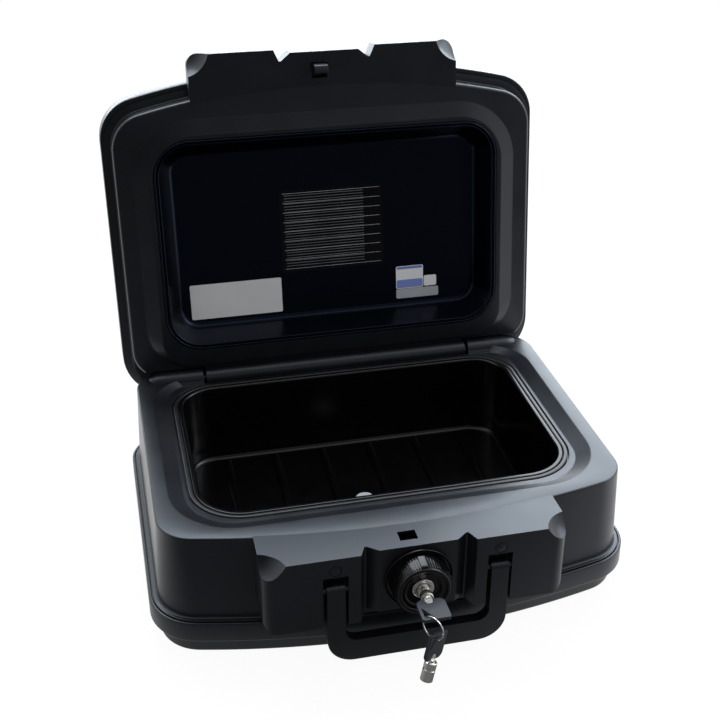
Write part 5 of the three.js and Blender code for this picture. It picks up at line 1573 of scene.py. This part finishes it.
@dataclass
class LidStickers:
    """Bare stickers on the lid's pan."""

    thickness: float = 0.12
    seat: float = 0.02

    def sticker(self, name: str, rectangle: Four, finish: Finish, layer: int = 0) -> Object:
        """A thin card with rounded corners.

        Args:
            name: The piece's name.
            rectangle: Left, right, front and rear edges on the pan, with the lid shut.
            finish: Its finish.
            layer: How many cards lie under it.

        Returns:
            The piece.
        """
        left, right, front, rear = rectangle
        half_x, half_y = (right - left) / 2, (rear - front) / 2
        high = PAN_Z - self.seat - layer * self.thickness
        card = plate(rounded_rectangle(-half_x, half_x, -half_y, half_y, (1.5, 1.5, 1.5, 1.5), 4),
                     high - self.thickness, high)
        place = opened() @ shifted((left + right) / 2, (front + rear) / 2, 0.0)
        return Piece(name, Body.LID).make(card, finish, place)

    def rules(self, name: str, rectangle: Four, rows: int, half: float, finish: Finish) -> Object:
        """Pale ruled lines on the clear film.

        Args:
            name: The piece's name.
            rectangle: Left, right, front and rear ends of the ruled field.
            rows: Number of rows between the lines.
            half: Half the width of a line.
            finish: The finish of the lines.

        Returns:
            The piece.
        """
        left, right, front, rear = rectangle
        high = PAN_Z - self.seat - self.thickness
        lines = []
        for i in range(rows + 1):
            y = front + (rear - front) * i / rows
            lines.append(box((left, y - half, high - 0.04), (right, y + half, high)))
        return Piece(name, Body.LID).make(joined(*lines), finish, opened())

    def build(self) -> None:
        """Builds the stickers."""
        self.sticker("silver_sticker", (-135.0, -47.0, 44.0, 78.5), SILVER_CARD)
        self.sticker("clear_sticker", (-45.0, 55.0, -40.0, 39.5), CLEAR_FILM)
        self.rules("film_rules", (-42.0, 52.0, -37.0, 36.5), 8, 0.18, PALE_RULE)
        self.rules("film_fine_rules", (-40.5, 36.0, -35.0, 33.5), 26, 0.3, DIM_RULE)
        self.sticker("white_sticker", (67.0, 94.5, 44.5, 67.5), WHITE_CARD)
        self.sticker("blue_band_high", (67.6, 93.9, 45.0, 47.6), BLUE_CARD, 1)
        self.sticker("blue_band_low", (67.6, 93.9, 58.5, 66.9), BLUE_CARD, 1)
        self.sticker("white_tag", (95.2, 108.0, 56.0, 66.8), WHITE_CARD)
        self.sticker("grey_sticker", (67.0, 110.0, 67.9, 77.5), GREY_CARD)


@dataclass(frozen=True)
class Lamp:
    """A rectangular lamp, in metres and watts."""

    name: str
    place: Triple
    aim: Triple
    size: tuple[float, float]
    watts: float
    colour: Triple = (0.84, 0.92, 1.0)

    def make(self) -> None:
        """Puts the lamp into the scene."""
        data = bpy.data.lights.new(self.name, "AREA")
        data.shape = "RECTANGLE"
        data.size, data.size_y = self.size
        data.energy = self.watts
        data.color = self.colour
        item = in_scene(self.name, data)
        item.location = self.place
        item.rotation_euler = (Vector(self.aim) - Vector(self.place)).to_track_quat("-Z", "Y").to_euler()


LAMPS = (
    Lamp("back_right", (1.15, 1.35, 1.1), (0.1, 0.0, 0.1), (1.3, 1.1), 22.0),
    Lamp("back_high", (-0.1, 0.85, 1.6), (0.0, -0.1, 0.1), (1.6, 1.1), 26.0),
    Lamp("side_right", (1.5, 0.1, 1.2), (0.0, 0.0, 0.1), (1.1, 1.1), 12.0),
    Lamp("back_low", (0.2, 1.9, 0.45), (0.0, 0.0, 0.3), (2.6, 0.5), 16.0),
    Lamp("front_high", (0.5, -1.9, 1.25), (0.0, 0.1, 0.25), (1.4, 0.8), 1.1, (1.0, 1.0, 1.0)),
)


@dataclass
class Studio:
    """Camera, floor, lamps and white surroundings."""

    eye: Triple = (-210.0, -865.6, 683.1)
    azimuth: float = -13.09
    elevation: float = 29.18
    roll: float = 0.172
    lens: float = 59.78
    sensor: float = 36.0
    far_clip: float = 20.0
    shift: tuple[float, float] = (0.00196, -0.00597)
    ambient: float = 0.6
    front_level: float = 0.05
    side_share: float = 0.6
    sky_ramp: tuple[float, float] = (-0.6, 0.1)
    floor_ramp: tuple[float, float] = (-0.22, 0.06)
    floor_half: float = 6.0
    floor_drop: float = 0.2
    floor_glow: float = 0.3
    floor_seen: float = 0.945
    floor_colour: Four = (0.07, 0.07, 0.07, 1.0)

    def camera(self) -> None:
        """Places the camera at the photograph's viewing angle."""
        data = bpy.data.cameras.new("view")
        data.lens = self.lens
        data.sensor_width = self.sensor
        data.shift_x, data.shift_y = self.shift
        data.clip_end = self.far_clip
        item = in_scene("view", data)
        turn = (rotated(self.azimuth, Axis.Z) @ rotated(90.0 - self.elevation, Axis.X)
                @ rotated(self.roll, Axis.Z))
        item.matrix_world = shifted(*self.eye) @ turn
        bpy.context.scene.camera = item
        bpy.context.scene.view_settings.view_transform = "Standard"

    def backdrop(self, tree: NodeTree, where: NodeSocket, span: tuple[float, float]) -> NodeSocket:
        """Brightness that grows from the dark front of the studio to its white back and sides.

        Args:
            tree: The node tree to add it to.
            where: A place or a direction.
            span: Where the brightness starts to grow and where it reaches white.

        Returns:
            The brightness.
        """
        parts = tree.nodes.new("ShaderNodeSeparateXYZ")
        feed(tree, where, parts.inputs[0])
        side = worked_out(tree, "MAXIMUM", parts.outputs["X"], 0.0)
        back = worked_out(tree, "MULTIPLY_ADD", side, self.side_share, parts.outputs["Y"])
        return ranged(tree, back, span, self.front_level, 1.0)

    @staticmethod
    def by_ray(tree: NodeTree, plain: float, mirrored: NodeSocket, seen: float) -> NodeSocket:
        """A strength that depends on what looks at it.

        Args:
            tree: The node tree to add it to.
            plain: Strength for diffuse light.
            mirrored: Strength that glossy surfaces see.
            seen: Strength that the camera sees, straight or through a clear piece.

        Returns:
            The strength.
        """
        path = tree.nodes.new("ShaderNodeLightPath").outputs
        glossy = ranged(tree, path["Is Glossy Ray"], (0.0, 1.0), plain, mirrored)
        direct = worked_out(tree, "MAXIMUM", path["Is Camera Ray"], path["Is Transmission Ray"])
        return ranged(tree, direct, (0.0, 1.0), glossy, seen)

    def surroundings(self) -> None:
        """White surroundings whose light on the object is plain."""
        world = bpy.data.worlds.new("surroundings")
        world.use_nodes = True
        tree = world.node_tree
        background = tree.nodes["Background"]
        background.inputs["Color"].default_value = (1.0, 1.0, 1.0, 1.0)
        where = tree.nodes.new("ShaderNodeTexCoord").outputs["Generated"]
        mirrored = self.backdrop(tree, where, self.sky_ramp)
        feed(tree, self.by_ray(tree, self.ambient, mirrored, 1.0), background.inputs["Strength"])
        bpy.context.scene.world = world

    def floor(self) -> None:
        """The plain pale floor."""
        mesh = bmesh.new()
        bmesh.ops.create_grid(mesh, x_segments=1, y_segments=1, size=self.floor_half)
        item = object_of("floor", mesh)
        item.location.z = -self.floor_drop * MM
        made = bpy.data.materials.new("pale_floor")
        made.use_nodes = True
        tree = made.node_tree
        shader = tree.nodes["Principled BSDF"]
        plain = {"Base Color": self.floor_colour, "Roughness": 0.9, "Specular IOR Level": 0.0,
                 "Emission Color": (1.0, 1.0, 1.0, 1.0)}
        for name, value in plain.items():
            shader.inputs[name].default_value = value
        where = tree.nodes.new("ShaderNodeTexCoord").outputs["Object"]
        mirrored = self.backdrop(tree, where, self.floor_ramp)
        glow = self.by_ray(tree, self.floor_glow, mirrored, self.floor_seen)
        feed(tree, glow, shader.inputs["Emission Strength"])
        item.data.materials.append(made)

    def build(self) -> None:
        """Sets the whole studio up."""
        self.camera()
        self.surroundings()
        self.floor()
        for lamp in LAMPS:
            lamp.make()


@dataclass
class DataSafe:
    """The whole safe, assembly by assembly."""

    assemblies: list = field(default_factory=lambda: [
        BaseBody(), LidBody(), LatchHousings(), KnobLock(), Keys(), BailHandle(), LidStickers(),
    ])
    inner_finishes: dict = field(default_factory=lambda: {
        "base_insulation": FILL, "lid_insulation": FILL, "spindle_nut": ZINC, "hinge_pin_left": BLACKENED,
        "hinge_pin_right": BLACKENED, "handle_pin_left": BLACKENED, "handle_pin_right": BLACKENED,
        "housing_screw_left": ZINC, "housing_screw_right": ZINC, "knob_spindle": ZINC, "latch_cam": ZINC,
        "lock_tailpiece": ZINC,
    })

    def dress_frame(self) -> None:
        """Gives every node that stays its finish."""
        for name, finish in self.inner_finishes.items():
            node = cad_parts[name]
            node.data.materials.clear()
            node.data.materials.append(finish.material())

    def build(self) -> None:
        """Builds every assembly."""
        for assembly in self.assemblies:
            assembly.build()
            LOG.info("built %s", type(assembly).__name__)
        self.dress_frame()


def main() -> None:
    """Builds the studio and the safe."""
    logging.basicConfig(level=logging.INFO, format="%(name)s: %(message)s")
    Studio().build()
    DataSafe().build()


if __name__ == "__main__":
    main()
